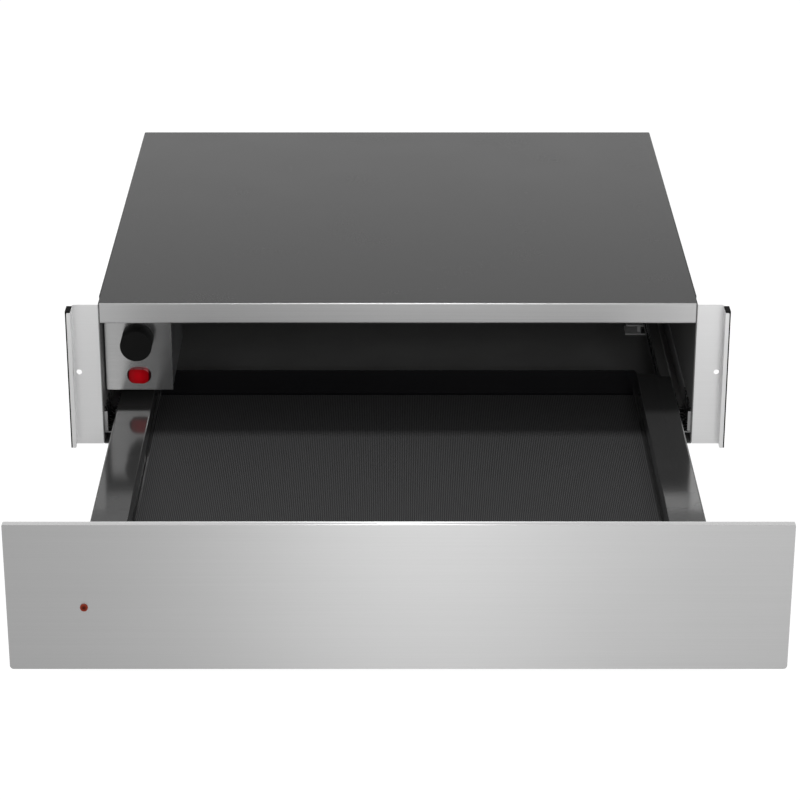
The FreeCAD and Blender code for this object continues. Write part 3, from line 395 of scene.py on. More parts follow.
@dataclass(frozen=True)
class GlowingPlastic:
    """Clear coloured plastic with emission and another colour at its middle; the rocker's emission
    is its lamp, and the light window's is a painted glow.

    Where its half width and half height are given, its faces that look up get a painted highlight,
    and its outline a dark painted shade.
    """

    name: str
    colour: Colour
    glow: Colour
    centre: Point
    spread: float
    strength: float
    half: Optional[Span] = None
    painted_rim_shade: Colour = (0.015, 0.0, 0.001)
    painted_rim_shade_span: Span = (0.38, 0.72)
    painted_crest_highlight: Colour = (0.42, 0.12, 0.13)
    painted_crest_highlight_span: Span = (0.15, 0.75)
    painted_crest_highlight_share: float = 0.55
    roughness: float = 0.34
    gloss_by_speck: float = 0.06
    specular: float = 0.12
    speck: float = 0.03

    def material(self) -> bpy.types.Material:
        """The middle colour fades with the distance from the middle; the painted shade of the
        outline follows x^4 + z^4.

        Returns:
            The finished material.
        """
        graph = Graph.of_material(self.name)
        away = graph.wire("ShaderNodeVectorMath", {"operation": "DISTANCE"},
                          {0: graph.place(), 1: self.centre}, "Value")
        heart = 1.0 - away.ramp(0.0, self.spread)
        speck = graph.noise(scale=900.0, detail=1.0)
        colour = graph.blend(heart, self.colour, self.glow)
        if self.half is not None:
            x, _, z = graph.axes()
            across = (x - self.centre[0]) * (1.0 / self.half[0])
            upright = (z - self.centre[2]) * (1.0 / self.half[1])
            round_box = (across * across) * (across * across) + (upright * upright) * (
                upright * upright)
            # Painted highlight on the faces that look up, and dark painted shade round the
            # outline.
            painted_crest_highlight = graph.upward().ramp(*self.painted_crest_highlight_span)
            colour = graph.blend(painted_crest_highlight * self.painted_crest_highlight_share, colour, self.painted_crest_highlight)
            colour = graph.blend(round_box.ramp(*self.painted_rim_shade_span), colour, self.painted_rim_shade)
        return graph.finish({
            "Base Color": colour,
            "Roughness": self.roughness + speck.swing(self.gloss_by_speck),
            "Specular IOR Level": self.specular,
            "Emission Color": colour,
            "Emission Strength": self.strength,
            "Normal": graph.bump(speck, self.speck)})


@dataclass(frozen=True)
class WovenRubber:
    """Anti-slip sheet: small staggered pips pressed into dark rubber."""

    name: str
    colour: Colour = (0.047, 0.047, 0.048)
    pitch: float = 1.6 * MM
    rib: float = 0.8
    worn_height: float = 0.4
    worn_span: Span = (0.35, 0.6)
    pip_span: Span = (-0.6, 0.6)
    pip_share: float = 0.8
    dust_share: float = 0.1
    shades: Span = (0.05, 2.3)
    drawn: Point = (900.0, 60.0, 900.0)
    roughness: float = 0.58
    gloss_by_dust: float = 0.2
    specular: float = 0.12
    relief: float = 0.5
    dust_relief: float = 0.4
    pip_height: float = 0.25 * MM

    def material(self) -> bpy.types.Material:
        """Two crossed sine waves in the sheet's plane make the pips; noise breaks them up.

        Returns:
            The finished material.
        """
        graph = Graph.of_material(self.name)
        x, y, _ = graph.axes()
        turn = FULL_TURN / self.pitch
        patch = graph.noise(scale=60.0).ramp(*self.worn_span)
        ribs = (x * turn).sine() * (self.rib + (y * turn * 0.5).sine() * self.rib)
        full = self.worn_height + patch * (1.0 - self.worn_height)
        pips = (ribs * full).ramp(*self.pip_span)
        dust = graph.noise(scale=420.0, detail=3.0)
        drawn = graph.noise(vector=graph.stretched(self.drawn))
        tone = pips * self.pip_share + dust * self.dust_share + drawn * self.dust_share
        return graph.finish({
            "Base Color": graph.tones(tone, self.colour, self.shades),
            "Roughness": self.roughness + dust.swing(self.gloss_by_dust),
            "Specular IOR Level": self.specular,
            "Normal": graph.bump(pips + dust * self.dust_relief, self.relief,
                                 self.pip_height)})


@dataclass(frozen=True)
class Rubber:
    """Plain extruded rubber with a bloom on its surface."""

    name: str
    colour: Colour = grey(0.005)
    shades: Span = (1.0, 1.8)
    roughness: float = 0.75
    gloss_by_bloom: float = 0.15
    specular: float = 0.12
    skin: float = 0.15

    def material(self) -> bpy.types.Material:
        """Slow noise for the bloom and fine noise for the skin.

        Returns:
            The finished material.
        """
        graph = Graph.of_material(self.name)
        bloom = graph.noise(scale=45.0, detail=3.0)
        skin = graph.noise(scale=1500.0)
        return graph.finish({
            "Base Color": graph.tones(bloom, self.colour, self.shades),
            "Roughness": self.roughness + bloom.swing(self.gloss_by_bloom),
            "Specular IOR Level": self.specular,
            "Normal": graph.bump(skin, self.skin)})


@dataclass(frozen=True)
class CoatWithPaintedGlints:
    """Light matt coat that turns, at the mouth of the casing, to near-black painted shade with
    bright metal patches as painted glints.

    The painted zone grows along y between its two starting points, and the lug at the mouth is
    left plain.
    """

    name: str
    colour: Colour = grey(0.50)
    dark: Colour = grey(0.01)
    bright: Colour = grey(0.75)
    plain_from: float = -186.0 * MM
    shade_from: float = -206.0 * MM
    lug_from: float = -254.1 * MM
    lug_edge: float = 0.1 * MM
    glint_span: Span = (0.5, 0.56)
    roughness: float = 0.6
    zone_smoothing: float = 0.3
    specular: float = 0.3

    def material(self) -> bpy.types.Material:
        """A ramp along the slide gives the painted zone; coarse noise splits it into bright metal
        for the painted glints and near-black painted shade.

        Returns:
            The finished material.
        """
        graph = Graph.of_material(self.name)
        _, along, _ = graph.axes()
        # Near the mouth: near-black painted shade, with metallic patches as painted glints.
        lug = along.ramp(self.lug_from, self.lug_from - self.lug_edge)
        shade_and_glint_zone = along.ramp(self.plain_from, self.shade_from) * (1.0 - lug)
        glints = graph.noise(scale=260.0).ramp(*self.glint_span)
        shade_and_glints = graph.blend(glints, self.dark, self.bright)
        return graph.finish({
            "Base Color": graph.blend(shade_and_glint_zone, self.colour, shade_and_glints),
            "Metallic": shade_and_glint_zone * glints,
            "Roughness": self.roughness - shade_and_glint_zone * self.zone_smoothing,
            "Specular IOR Level": self.specular})


@dataclass(frozen=True)
class Galvanised:
    """Hot-dipped sheet with its spangle: crystals of slightly different grey and gloss."""

    name: str
    tint: Colour = (0.50, 0.51, 0.52)
    spangle: float = 130.0
    shades: Span = (0.86, 1.08)
    crystal_share: float = 0.7
    bloom_share: float = 0.3
    metallic: float = 0.9
    roughness: float = 0.36
    gloss_by_crystal: float = 0.14
    gloss_by_bloom: float = 0.08
    relief: float = 0.04

    def material(self) -> bpy.types.Material:
        """Voronoi cells give each crystal its own grey and roughness.

        Returns:
            The finished material.
        """
        graph = Graph.of_material(self.name)
        cells = graph.wire("ShaderNodeTexVoronoi", {"feature": "F1"}, {
            "Vector": graph.place(), "Scale": self.spangle}, "Color")
        crystal = graph.wire("ShaderNodeSeparateColor", None, {"Color": cells}, "Red")
        bloom = graph.noise(scale=30.0, detail=3.0)
        mixed = crystal * self.crystal_share + bloom * self.bloom_share
        return graph.finish({
            "Base Color": graph.tones(mixed, self.tint, self.shades),
            "Metallic": self.metallic,
            "Roughness": (self.roughness + crystal * self.gloss_by_crystal
                          + bloom.swing(self.gloss_by_bloom)),
            "Normal": graph.bump(crystal, self.relief)})


@dataclass(frozen=True)
class PlatedSteel:
    """Zinc-plated or drawn steel, bright with a fine mottling."""

    name: str
    tint: Colour = (0.60, 0.61, 0.62)
    roughness: float = 0.24
    shades: Span = (0.84, 1.0)
    gloss_by_mottle: float = 0.12
    relief: float = 0.05

    def material(self) -> bpy.types.Material:
        """Fine noise mottles colour and roughness.

        Returns:
            The finished material.
        """
        graph = Graph.of_material(self.name)
        mottle = graph.noise(scale=320.0, detail=3.0)
        return graph.finish({
            "Base Color": graph.tones(mottle.ramp(*MID_SPAN), self.tint, self.shades),
            "Metallic": 1.0,
            "Roughness": self.roughness + mottle.swing(self.gloss_by_mottle),
            "Normal": graph.bump(mottle, self.relief)})


@dataclass(frozen=True)
class FibreBoard:
    """Pressed fibre board, pale brown with its fibres showing."""

    name: str
    colour: Colour = (0.42, 0.34, 0.24)
    drawn: Point = (220.0, 900.0, 900.0)
    shades: Span = (0.7, 1.0)
    roughness: float = 0.85
    gloss_by_fibre: float = 0.1
    relief: float = 0.3
    fibre_height: float = 0.2 * MM

    def material(self) -> bpy.types.Material:
        """Drawn-out noise for the fibres.

        Returns:
            The finished material.
        """
        graph = Graph.of_material(self.name)
        fibres = graph.noise(detail=4.0, roughness=0.7, vector=graph.stretched(self.drawn))
        return graph.finish({
            "Base Color": graph.tones(fibres.ramp(*MID_SPAN), self.colour, self.shades),
            "Roughness": self.roughness + fibres.swing(self.gloss_by_fibre),
            "Normal": graph.bump(fibres, self.relief, self.fibre_height)})


# ---------------------------------------------------------------- surfaces

def around_circle(count: int) -> np.ndarray:
    """Angles of this many points spread evenly round a circle."""
    return np.linspace(0.0, FULL_TURN, count, endpoint=False)


def ring_faces(rings: int, around: int) -> np.ndarray:
    """Quads between rings of points, each of which closes on itself.

    Args:
        rings: number of rings.
        around: points in one ring.

    Returns:
        One row of four point numbers for each quad.
    """
    i, j = np.meshgrid(np.arange(rings - 1), np.arange(around), indexing="ij")
    next_i, next_j = i + 1, (j + 1) % around
    corners = [i * around + j, next_i * around + j, next_i * around + next_j,
               i * around + next_j]
    return np.stack(corners, axis=-1).reshape(-1, 4)


def repeated(points: np.ndarray, faces: np.ndarray, places: np.ndarray) -> Surface:
    """Copies of one shape, each shifted to its place, as one set of points and faces.

    Args:
        points: the shape's points.
        faces: its faces.
        places: one row for each copy.

    Returns:
        Points and faces of all the copies.
    """
    copies = (places[:, None, :] + points[None, :, :]).reshape(-1, 3)
    shift = np.arange(len(places))[:, None, None] * len(points)
    return copies, (faces[None, :, :] + shift).reshape(-1, faces.shape[1])


def outward(points: np.ndarray, faces: np.ndarray) -> np.ndarray:
    """Faces in the order that points outwards: six times the volume is a sum of triple products.

    Args:
        points: points of a closed surface.
        faces: its quads, all in the same order.

    Returns:
        The quads, turned round if the volume is negative.
    """
    first, second, third, fourth = (points[faces[:, corner]] for corner in range(4))
    volume = np.einsum("ij,ij->", first, np.cross(second, third))
    volume += np.einsum("ij,ij->", first, np.cross(third, fourth))
    return faces if volume > 0 else faces[:, ::-1]


def make_piece(name: str, points: np.ndarray, faces: np.ndarray, finish: bpy.types.Material,
               body: str, crease: float = 40.0) -> bpy.types.Object:
    """Makes a closed piece from a surface's points and faces.

    Args:
        name: piece name.
        points: places in metres, in the frame.
        faces: quads.
        finish: its material.
        body: the CAD body that it rides on.
        crease: edges sharper than this many degrees stay sharp.

    Returns:
        The new object, riding on its body.
    """
    mesh = bpy.data.meshes.new(name)
    mesh.from_pydata(points.tolist(), [], outward(points, faces).tolist())
    shape = bmesh.new()
    shape.from_mesh(mesh)
    bmesh.ops.remove_doubles(shape, verts=shape.verts, dist=PIECE_WELD)
    shape.to_mesh(mesh)
    shape.free()
    mesh.polygons.foreach_set("use_smooth", np.ones(len(mesh.polygons), dtype=bool))
    mesh.set_sharp_from_angle(angle=math.radians(crease))
    mesh.materials.append(finish)
    piece = bpy.data.objects.new(name, mesh)
    bpy.context.scene.collection.objects.link(piece)
    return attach(piece, body)


def tube_along(path: np.ndarray, radius: float, around: int) -> Surface:
    """Round tube along a flat path in a plane of constant y.

    The centre line c has the tangent t; with b the y axis and n = b x t, a point of the tube
    is c + radius * (n cos a + b sin a). End rings close to the centre line's ends.

    Args:
        path: points of the centre line.
        radius: tube radius.
        around: points in one ring.

    Returns:
        Points and quads.
    """
    tangent = np.gradient(path, axis=0)
    tangent /= np.linalg.norm(tangent, axis=1, keepdims=True)
    side = np.broadcast_to(np.array((0.0, 1.0, 0.0)), tangent.shape)
    normal = np.cross(side, tangent)
    angle = around_circle(around)
    ring = (normal[:, None, :] * np.cos(angle)[None, :, None]
            + side[:, None, :] * np.sin(angle)[None, :, None]) * radius
    first, last = (np.repeat(end[:, None, :], around, axis=1) for end in (path[:1], path[-1:]))
    points = np.concatenate([first, path[:, None, :] + ring, last], axis=0)
    return points.reshape(-1, 3), ring_faces(len(points), around)


def turned(profile: np.ndarray, around: int) -> Surface:
    """Solid of revolution about -Y.

    A profile's point (radius, reach) goes to (radius cos a, -reach, radius sin a).

    Args:
        profile: rows of radius and reach, from the axis at the back to the axis in front.
        around: points in one ring.

    Returns:
        Points and quads.
    """
    angle = around_circle(around)
    radius, reach = profile[:, 0][:, None], profile[:, 1][:, None]
    points = np.stack([radius * np.cos(angle), -reach + 0.0 * angle, radius * np.sin(angle)],
                      axis=-1)
    return points.reshape(-1, 3), ring_faces(len(profile), around)


# ---------------------------------------------------------------- nodes of the frame

class Named(Enum):
    """Option that is written as nodes and bodies have it, in small letters."""

    def __str__(self) -> str:
        """The option's name in small letters."""
        return self.name.lower()


class Side(Named):
    """Side of the drawer, seen from the front; the value is the sign of x there."""

    LEFT = -1.0
    RIGHT = 1.0


class Race(Named):
    """Pair of ball rows in a slide.

    The value is their distance from its middle, the balls' radius, and their distance from
    its web.
    """

    OUTER = (7.7 * MM, 1.2 * MM, 5.0 * MM)
    INNER = (3.9 * MM, 1.0 * MM, 6.2 * MM)


def both(pattern: str) -> List[str]:
    """Names of a left and a right node."""
    return [pattern.format(side) for side in Side]


def dress(finish: bpy.types.Material, *nodes: str) -> None:
    """Gives CAD nodes a finish.

    Args:
        finish: the material.
        nodes: names of the nodes.
    """
    for name in nodes:
        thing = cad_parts[name]
        if not thing.material_slots:
            thing.data.materials.append(finish)
        for holder in thing.material_slots:
            holder.material = finish
        LOG.info("%s wears %s", name, finish.name)


def soften(width: float, *nodes: str, sharp: float = 50.0) -> None:
    """Rounds the sharp edges of CAD nodes by live modifiers, so that they catch the light.

    Args:
        width: width of the rounding in metres.
        nodes: names of the nodes.
        sharp: edges that turn by more than this many degrees are rounded.
    """
    for name in nodes:
        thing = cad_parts[name]
        weld = thing.modifiers.new("weld", "WELD")
        weld.merge_threshold = NODE_WELD
        bevel = thing.modifiers.new("edge", "BEVEL")
        bevel.width = width
        bevel.segments = 2
        bevel.limit_method = "ANGLE"
        bevel.angle_limit = math.radians(sharp)


# ---------------------------------------------------------------- sub-assemblies

@dataclass
class Casing:
    """Sheet-steel housing, its cover, rail, flanges and seals."""

    enamel: Enamel = Enamel("casing_enamel", grey(0.25), roughness=0.48, index=1.45)
    cover: Enamel = Enamel("cover_coat", grey(0.013), roughness=0.26, index=1.5, peel=0.03)
    rail: BrushedSteel = BrushedSteel("rail_steel", grey(0.62), roughness=0.42, anisotropy=0.7)
    flange: BrushedSteel = BrushedSteel("flange_steel", grey(0.93), roughness=0.42,
                                        anisotropy=0.6, depth=0.01, contrast=0.01)
    seal: Rubber = Rubber("seal_rubber")
    sheet: Galvanised = Galvanised("galvanised_sheet")
    edge: float = 0.25 * MM

    def build(self) -> None:
        """Dresses the housing."""
        dress(self.enamel.material(), "casing_base")
        dress(self.cover.material(), "top_cover")
        dress(self.rail.material(), "front_cross_rail")
        dress(self.flange.material(), *both("{}_flange"))
        dress(self.seal.material(), *both("{}_edge_seal"), "cable_bush")
        dress(self.sheet.material(), "rear_panel", *both("{}_panel_bracket"), "panel_lining",
              "control_box", "fan_housing")
        soften(self.edge, "front_cross_rail", *both("{}_flange"), "top_cover")


@dataclass
class Controls:
    """Control plate with the thermostat knob and the lit rocker switch."""

    plate: BrushedSteel = BrushedSteel("plate_steel", grey(0.65), roughness=0.20, anisotropy=0.4)
    knob: Plastic = Plastic("knob_black", grey(0.014), roughness=0.7, specular=0.06)
    bezel: Plastic = Plastic("switch_black", grey(0.012), roughness=0.22, spark=0.04)
    body: Plastic = Plastic("thermostat_body", (0.05, 0.04, 0.035), roughness=0.5)
    shaft: PlatedSteel = PlatedSteel("shaft_steel")
    terminal: Plastic = Plastic("terminal_white", (0.72, 0.71, 0.67), roughness=0.45)
    rocker: Colour = (0.17, 0.0, 0.002)
    rocker_glow: Colour = (0.38, 0.0, 0.004)
    rocker_spread: float = 11.0 * MM
    rocker_strength: float = 0.58
    knob_edge: float = 0.6 * MM
    rocker_edge: float = 1.9 * MM
    bezel_edge: float = 0.3 * MM

    def build(self) -> None:
        """Dresses the controls and lights the rocker."""
        dress(self.plate.material(), "control_plate")
        dress(self.knob.material(), "knob")
        dress(self.bezel.material(), "switch_housing")
        dress(self.body.material(), "thermostat")
        dress(self.shaft.material(), "thermostat_shaft")
        dress(self.terminal.material(), "terminal_block")
        low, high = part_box("rocker")
        middle = (low + high) / 2
        half = (high - low) / 2
        # The rocker is lit by its own lamp; its top faces get a painted highlight and its outline
        # a dark painted shade.
        rocker = GlowingPlastic("rocker_red", self.rocker, self.rocker_glow, tuple(middle),
                                self.rocker_spread, self.rocker_strength, (half[0], half[2]))
        dress(rocker.material(), "rocker")
        soften(self.knob_edge, "knob")
        soften(self.rocker_edge, "rocker")
        soften(self.bezel_edge, "switch_housing")


@dataclass
class Slides:
    """Telescopic slides with their rows of bearing balls."""

    member: PlatedSteel = PlatedSteel("slide_zinc", (0.58, 0.59, 0.60), roughness=0.26)
    # The bracket coat carries painted shade and painted glints at the mouth of the casing.
    coat: CoatWithPaintedGlints = CoatWithPaintedGlints("bracket_coat")
    outer: Enamel = Enamel("outer_member_coat", grey(0.15), roughness=0.50, index=1.4)
    cage: PlatedSteel = PlatedSteel("cage_steel", (0.40, 0.40, 0.42), roughness=0.34)
    ball: PlatedSteel = PlatedSteel("ball_steel", grey(0.80), roughness=0.06)
    sheet: Galvanised = Galvanised("bracket_sheet")
    margin: float = 8.0 * MM
    per_row: int = 17
    rings: int = 9
    around: int = 12
    ball_over_cage: float = 1.01

    def build(self) -> None:
        """Dresses the members and fills the cages with balls."""
        dress(self.coat.material(), *both("{}_slide_bracket"))
        dress(self.outer.material(), *both("{}_slide_outer"))
        dress(self.member.material(), *both("{}_slide_middle"), *both("{}_slide_inner"),
              "latch_striker")
        dress(self.cage.material(), *both("{}_outer_ball_cage"), *both("{}_inner_ball_cage"))
        dress(self.sheet.material(), *both("{}_tray_carrier"))
        steel = self.ball.material()
        for side in Side:
            for race in Race:
                self._balls(side, race, steel)

    def _balls(self, side: Side, race: Race, steel: bpy.types.Material) -> None:
        """Rows of spheres: r (cos u cos v, cos u sin v, sin u) about each place of the cage.

        Args:
            side: side of the drawer.
            race: which pair of rows.
            steel: finish.
        """
        from_middle, ball, from_web = race.value
        radius = ball * self.ball_over_cage
        rise = np.linspace(-math.pi / 2, math.pi / 2, self.rings)[:, None]
        turn = around_circle(self.around)[None, :]
        sphere = radius * np.stack([np.cos(rise) * np.cos(turn), np.cos(rise) * np.sin(turn),
                                    np.sin(rise) + 0.0 * turn], axis=-1)
        low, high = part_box(f"{side}_{race}_ball_cage")
        along = np.linspace(low.y + self.margin, high.y - self.margin, self.per_row)
        rows = (low.z + high.z) / 2 + np.array((-1.0, 1.0)) * from_middle
        y, z = np.meshgrid(along, rows, indexing="ij")
        web = max(abs(end.x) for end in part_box(f"{side}_slide_outer"))
        x = np.full_like(y, (web - from_web) * side.value)
        places = np.stack([x, y, z], axis=-1).reshape(-1, 3)
        points, faces = repeated(sphere.reshape(-1, 3), ring_faces(self.rings, self.around),
                                 places)
        piece = make_piece(f"{side}_{race}_balls", points, faces, steel, f"{side}_{race}_cage")
        LOG.info("%s has %d balls", piece.name, len(places))


@dataclass
class Drawer:
    """Enamelled tray with its mat, behind the stainless front."""

    enamel: Enamel = Enamel("tray_enamel", grey(0.052), roughness=0.10, index=1.62, peel=0.015)
    # Painted shade: the rear wall wears a much darker copy of the tray's enamel, for the shade on
    # it.
    wall: Enamel = Enamel("wall_enamel", (0.006, 0.006, 0.007), roughness=0.2, index=1.45)
    mat: WovenRubber = WovenRubber("mat_rubber")
    # The front's faces that look up get a painted highlight.
    front: BrushedSteel = BrushedSteel("front_steel", grey(0.60), roughness=0.38,
                                       anisotropy=0.85, depth=0.02, contrast=0.016,
                                       top_highlight_gain=1.65)
    board: FibreBoard = FibreBoard("core_board")
    lens: Colour = (0.24, 0.03, 0.012)
    lens_middle: Colour = (0.04, 0.003, 0.001)
    lens_spread: float = 3.2 * MM
    lens_painted_glow: float = 0.25
    lens_radius: float = 2.95 * MM
    lens_rise: float = 1.1 * MM
    lens_foot: float = 7.9 * MM
    lens_rings: int = 12
    lens_around: int = 40

    def build(self) -> None:
        """Dresses tray, mat and front, and domes the light window."""
        dress(self.enamel.material(), "tray", "tray_front_wall")
        dress(self.wall.material(), "tray_rear_wall")
        dress(self.mat.material(), "anti_slip_mat")
        dress(self.front.material(), "front_panel")
        dress(self.board.material(), "panel_core")
        self._lens()

    def _lens(self) -> None:
        """Domed cap over the rod's end, on a straight foot.

        The dome is a quarter of an ellipse, turned: radius R cos a, reach rise * sin a.
        """
        low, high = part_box("light_window")
        centre = ((low.x + high.x) / 2, low.y + self.lens_rise, (low.z + high.z) / 2)
        angle = np.linspace(0.0, math.pi / 2, self.lens_rings)
        dome = np.stack([self.lens_radius * np.cos(angle), self.lens_rise * np.sin(angle)], axis=1)
        foot = np.array(((0.0, -self.lens_foot), (self.lens_radius, -self.lens_foot)))
        points, faces = turned(np.concatenate([foot, dome]), self.lens_around)
        # The light window is a light pipe with no lamp of its own: its emission is a painted glow,
        # and its colour darkens towards the middle.
        window = GlowingPlastic("window_red", self.lens, self.lens_middle,
                                (centre[0], centre[1] - self.lens_rise, centre[2]),
                                self.lens_spread, self.lens_painted_glow)
        finish = window.material()
        dress(finish, "light_window")
        piece = make_piece("light_window_dome", points + np.array(centre), faces, finish, "drawer")
        LOG.info("%s caps the light window", piece.name)


@dataclass
class Latch:
    """Push latch on the casing floor."""

    body: Plastic = Plastic("latch_grey", grey(0.85))
    plunger: Plastic = Plastic("plunger_black", grey(0.03), roughness=0.35)

    def build(self) -> None:
        """Dresses the latch."""
        dress(self.body.material(), "latch_housing")
        dress(self.plunger.material(), "latch_plunger")


@dataclass
class FanHeater:
    """Fan heater at the back of the casing."""

    motor: PlatedSteel = PlatedSteel("motor_steel", (0.34, 0.34, 0.35), roughness=0.4)
    shaft: PlatedSteel = PlatedSteel("motor_shaft_steel")
    blades: PlatedSteel = PlatedSteel("impeller_aluminium", (0.74, 0.74, 0.75), roughness=0.3)
    sheath: PlatedSteel = PlatedSteel("element_sheath", (0.30, 0.27, 0.24), roughness=0.38)
    bend: float = 20.0 * MM
    bend_steps: int = 16
    around: int = 24
    crease: float = 60.0

    def build(self) -> None:
        """Dresses the fan and draws the element as a smooth tube."""
        dress(self.motor.material(), "fan_motor")
        dress(self.shaft.material(), "motor_shaft")
        dress(self.blades.material(), "fan_impeller")
        sheath = self.sheath.material()
        dress(sheath, "heating_element")
        self._element(sheath)

    def _element(self, sheath: bpy.types.Material) -> None:
        """U of three straight runs with two quarter bends, with a round tube along it.

        Args:
            sheath: finish.
        """
        low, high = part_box("heating_element")
        radius = (high.y - low.y) / 2
        middle = (low.y + high.y) / 2
        top, foot, reach = high.z - radius, low.z + radius, high.x - radius
        quarter = np.linspace(0.0, math.pi / 2, self.bend_steps)
        upper = np.stack([reach - self.bend + self.bend * np.sin(quarter),
                          top - self.bend + self.bend * np.cos(quarter)], axis=1)
        lower = np.stack([upper[::-1, 0], top + foot - upper[::-1, 1]], axis=1)
        ends = np.array(((low.x, top), (low.x, foot)))
        flat = np.concatenate([ends[:1], upper, lower, ends[1:]])
        path = np.stack([flat[:, 0], np.full(len(flat), middle), flat[:, 1]], axis=1)
        points, faces = tube_along(path, radius, self.around)
        piece = make_piece("element_tube", points, faces, sheath, "casing", self.crease)
        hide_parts("heating_element")
        LOG.info("%s stands for the flat-sided element", piece.name)


@dataclass
class Fasteners:
    """Pan-head screws with a cross recess, in place of the plain ones."""

    steel: PlatedSteel = PlatedSteel("screw_zinc", (0.62, 0.63, 0.64), roughness=0.22)
    head: float = 3.45 * MM
    rise: float = 1.95 * MM
    shank: float = 1.3 * MM
    slot_half: float = 0.45 * MM
    slot_reach: float = 1.9 * MM
    slot_depth: float = 1.1 * MM
    tip_share: float = 0.5
    straight_share: float = 0.7
    dome_rings: int = 25
    around: int = 64
    crease: float = 30.0
    sheet_depth: float = 2.0 * MM
    panel_depth: float = 3.5 * MM
    cover_x: Tuple[float, ...] = (-180.0 * MM, 0.0, 180.0 * MM)
    cover_z: float = 127.1 * MM
    flange_x: float = 270.0 * MM
    flange_z: Span = (35.0 * MM, 95.0 * MM)
    panel_x: Span = (-250.0 * MM, 250.0 * MM)
    panel_z: Span = (52.0 * MM, 100.0 * MM)

    def build(self) -> None:
        """Makes the three groups of screws."""
        steel = self.steel.material()
        rearward = (0.0, 1.0, 0.0)
        _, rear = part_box("top_cover")
        self._group("cover_screw_heads", "cover_screws", "casing", steel, rearward,
                    self.sheet_depth, [(x, rear.y, self.cover_z) for x in self.cover_x])
        low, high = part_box("flange_screws")
        y = (low.y + high.y) / 2
        for side in Side:
            seat = self.flange_x * side.value
            self._group(f"{side}_flange_screw_heads", "flange_screws", "casing", steel,
                        (side.value, 0.0, 0.0), self.sheet_depth,
                        [(seat, y, z) for z in self.flange_z])
        low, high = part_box("panel_screws")
        y = low.y + self.panel_depth
        self._group("panel_screw_heads", "panel_screws", "drawer", steel, rearward,
                    self.panel_depth, [(x, y, z) for x in self.panel_x for z in self.panel_z])

    def _group(self, name: str, node: str, body: str, steel: bpy.types.Material, out: Point,
               depth: float, seats: Sequence[Point]) -> None:
        """Places one screw at each seat, its head pointing outwards.

        Args:
            name: piece name.
            node: the CAD group that it stands for.
            body: the body that it rides on.
            steel: finish.
            out: unit vector away from the seat.
            depth: length of the shank.
            seats: middle of each head's underside.
        """
        points, faces = self._screw(depth)
        along = np.array(out)
        side = np.array((0.0, 0.0, 1.0))
        across = np.cross(side, along)
        spun = points[:, :1] * across + points[:, 1:2] * side + points[:, 2:] * along
        copies, quads = repeated(spun, faces, np.array(seats))
        piece = make_piece(name, copies, quads, steel, body, self.crease)
        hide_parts(node)
        LOG.info("%s has %d screws", piece.name, len(seats))

    def _screw(self, depth: float) -> Surface:
        """One screw about +Z: rings from the shank's tip, under the head, over its dome.

        The dome is rise * (1 - (r/R)^4)^(1/2); inside the reach of the recess the height drops
        where the point lies within half a slot of either axis.

        Args:
            depth: length of the shank.

        Returns:
            Points and quads.
        """
        edge = np.linspace(1.0, 0.0, self.dome_rings + 1)
        dome_radius = self.head * edge
        dome_height = self.rise * np.sqrt(np.clip(1.0 - (dome_radius / self.head) ** 4, 0.0, 1.0))
        shank_radius = (0.0, self.shank * self.tip_share, self.shank, self.shank)
        shank_height = (-depth, -depth, -depth * self.straight_share, 0.0)
        radius = np.concatenate([shank_radius, dome_radius])
        height = np.concatenate([shank_height, dome_height])
        angle = around_circle(self.around)
        x, y = radius[:, None] * np.cos(angle), radius[:, None] * np.sin(angle)
        z = np.repeat(height[:, None], len(angle), axis=1)
        on_head = np.arange(len(radius))[:, None] >= len(shank_radius)
        in_slot = np.minimum(np.abs(x), np.abs(y)) < self.slot_half
        in_reach = np.hypot(x, y) < self.slot_reach
        z = np.where(in_slot & in_reach & on_head, z - self.slot_depth, z)
        points = np.stack([x, y, z], axis=-1).reshape(-1, 3)
        return points, ring_faces(len(radius), len(angle))


# ---------------------------------------------------------------- stage

@dataclass
class Lamp:
    """Soft rectangular lamp aimed at a point; its power is in watts."""

    name: str
    place: Point
    aim: Point
    width: float
    height: float
    power: float

    def build(self) -> None:
        """Adds the lamp, tilted by its slope to the point and turned towards it."""
        data = bpy.data.lights.new(self.name, "AREA")
        data.shape = "RECTANGLE"
        data.size = self.width
        data.size_y = self.height
        data.energy = self.power
        lamp = bpy.data.objects.new(self.name, data)
        bpy.context.scene.collection.objects.link(lamp)
        lamp.location = self.place
        lamp.visible_camera = False
        toward = [end - start for start, end in zip(self.place, self.aim)]
        level = math.hypot(toward[0], toward[1])
        lamp.rotation_euler = (math.atan2(level, -toward[2]), 0.0,
                               math.atan2(toward[1], toward[0]) - math.pi / 2)


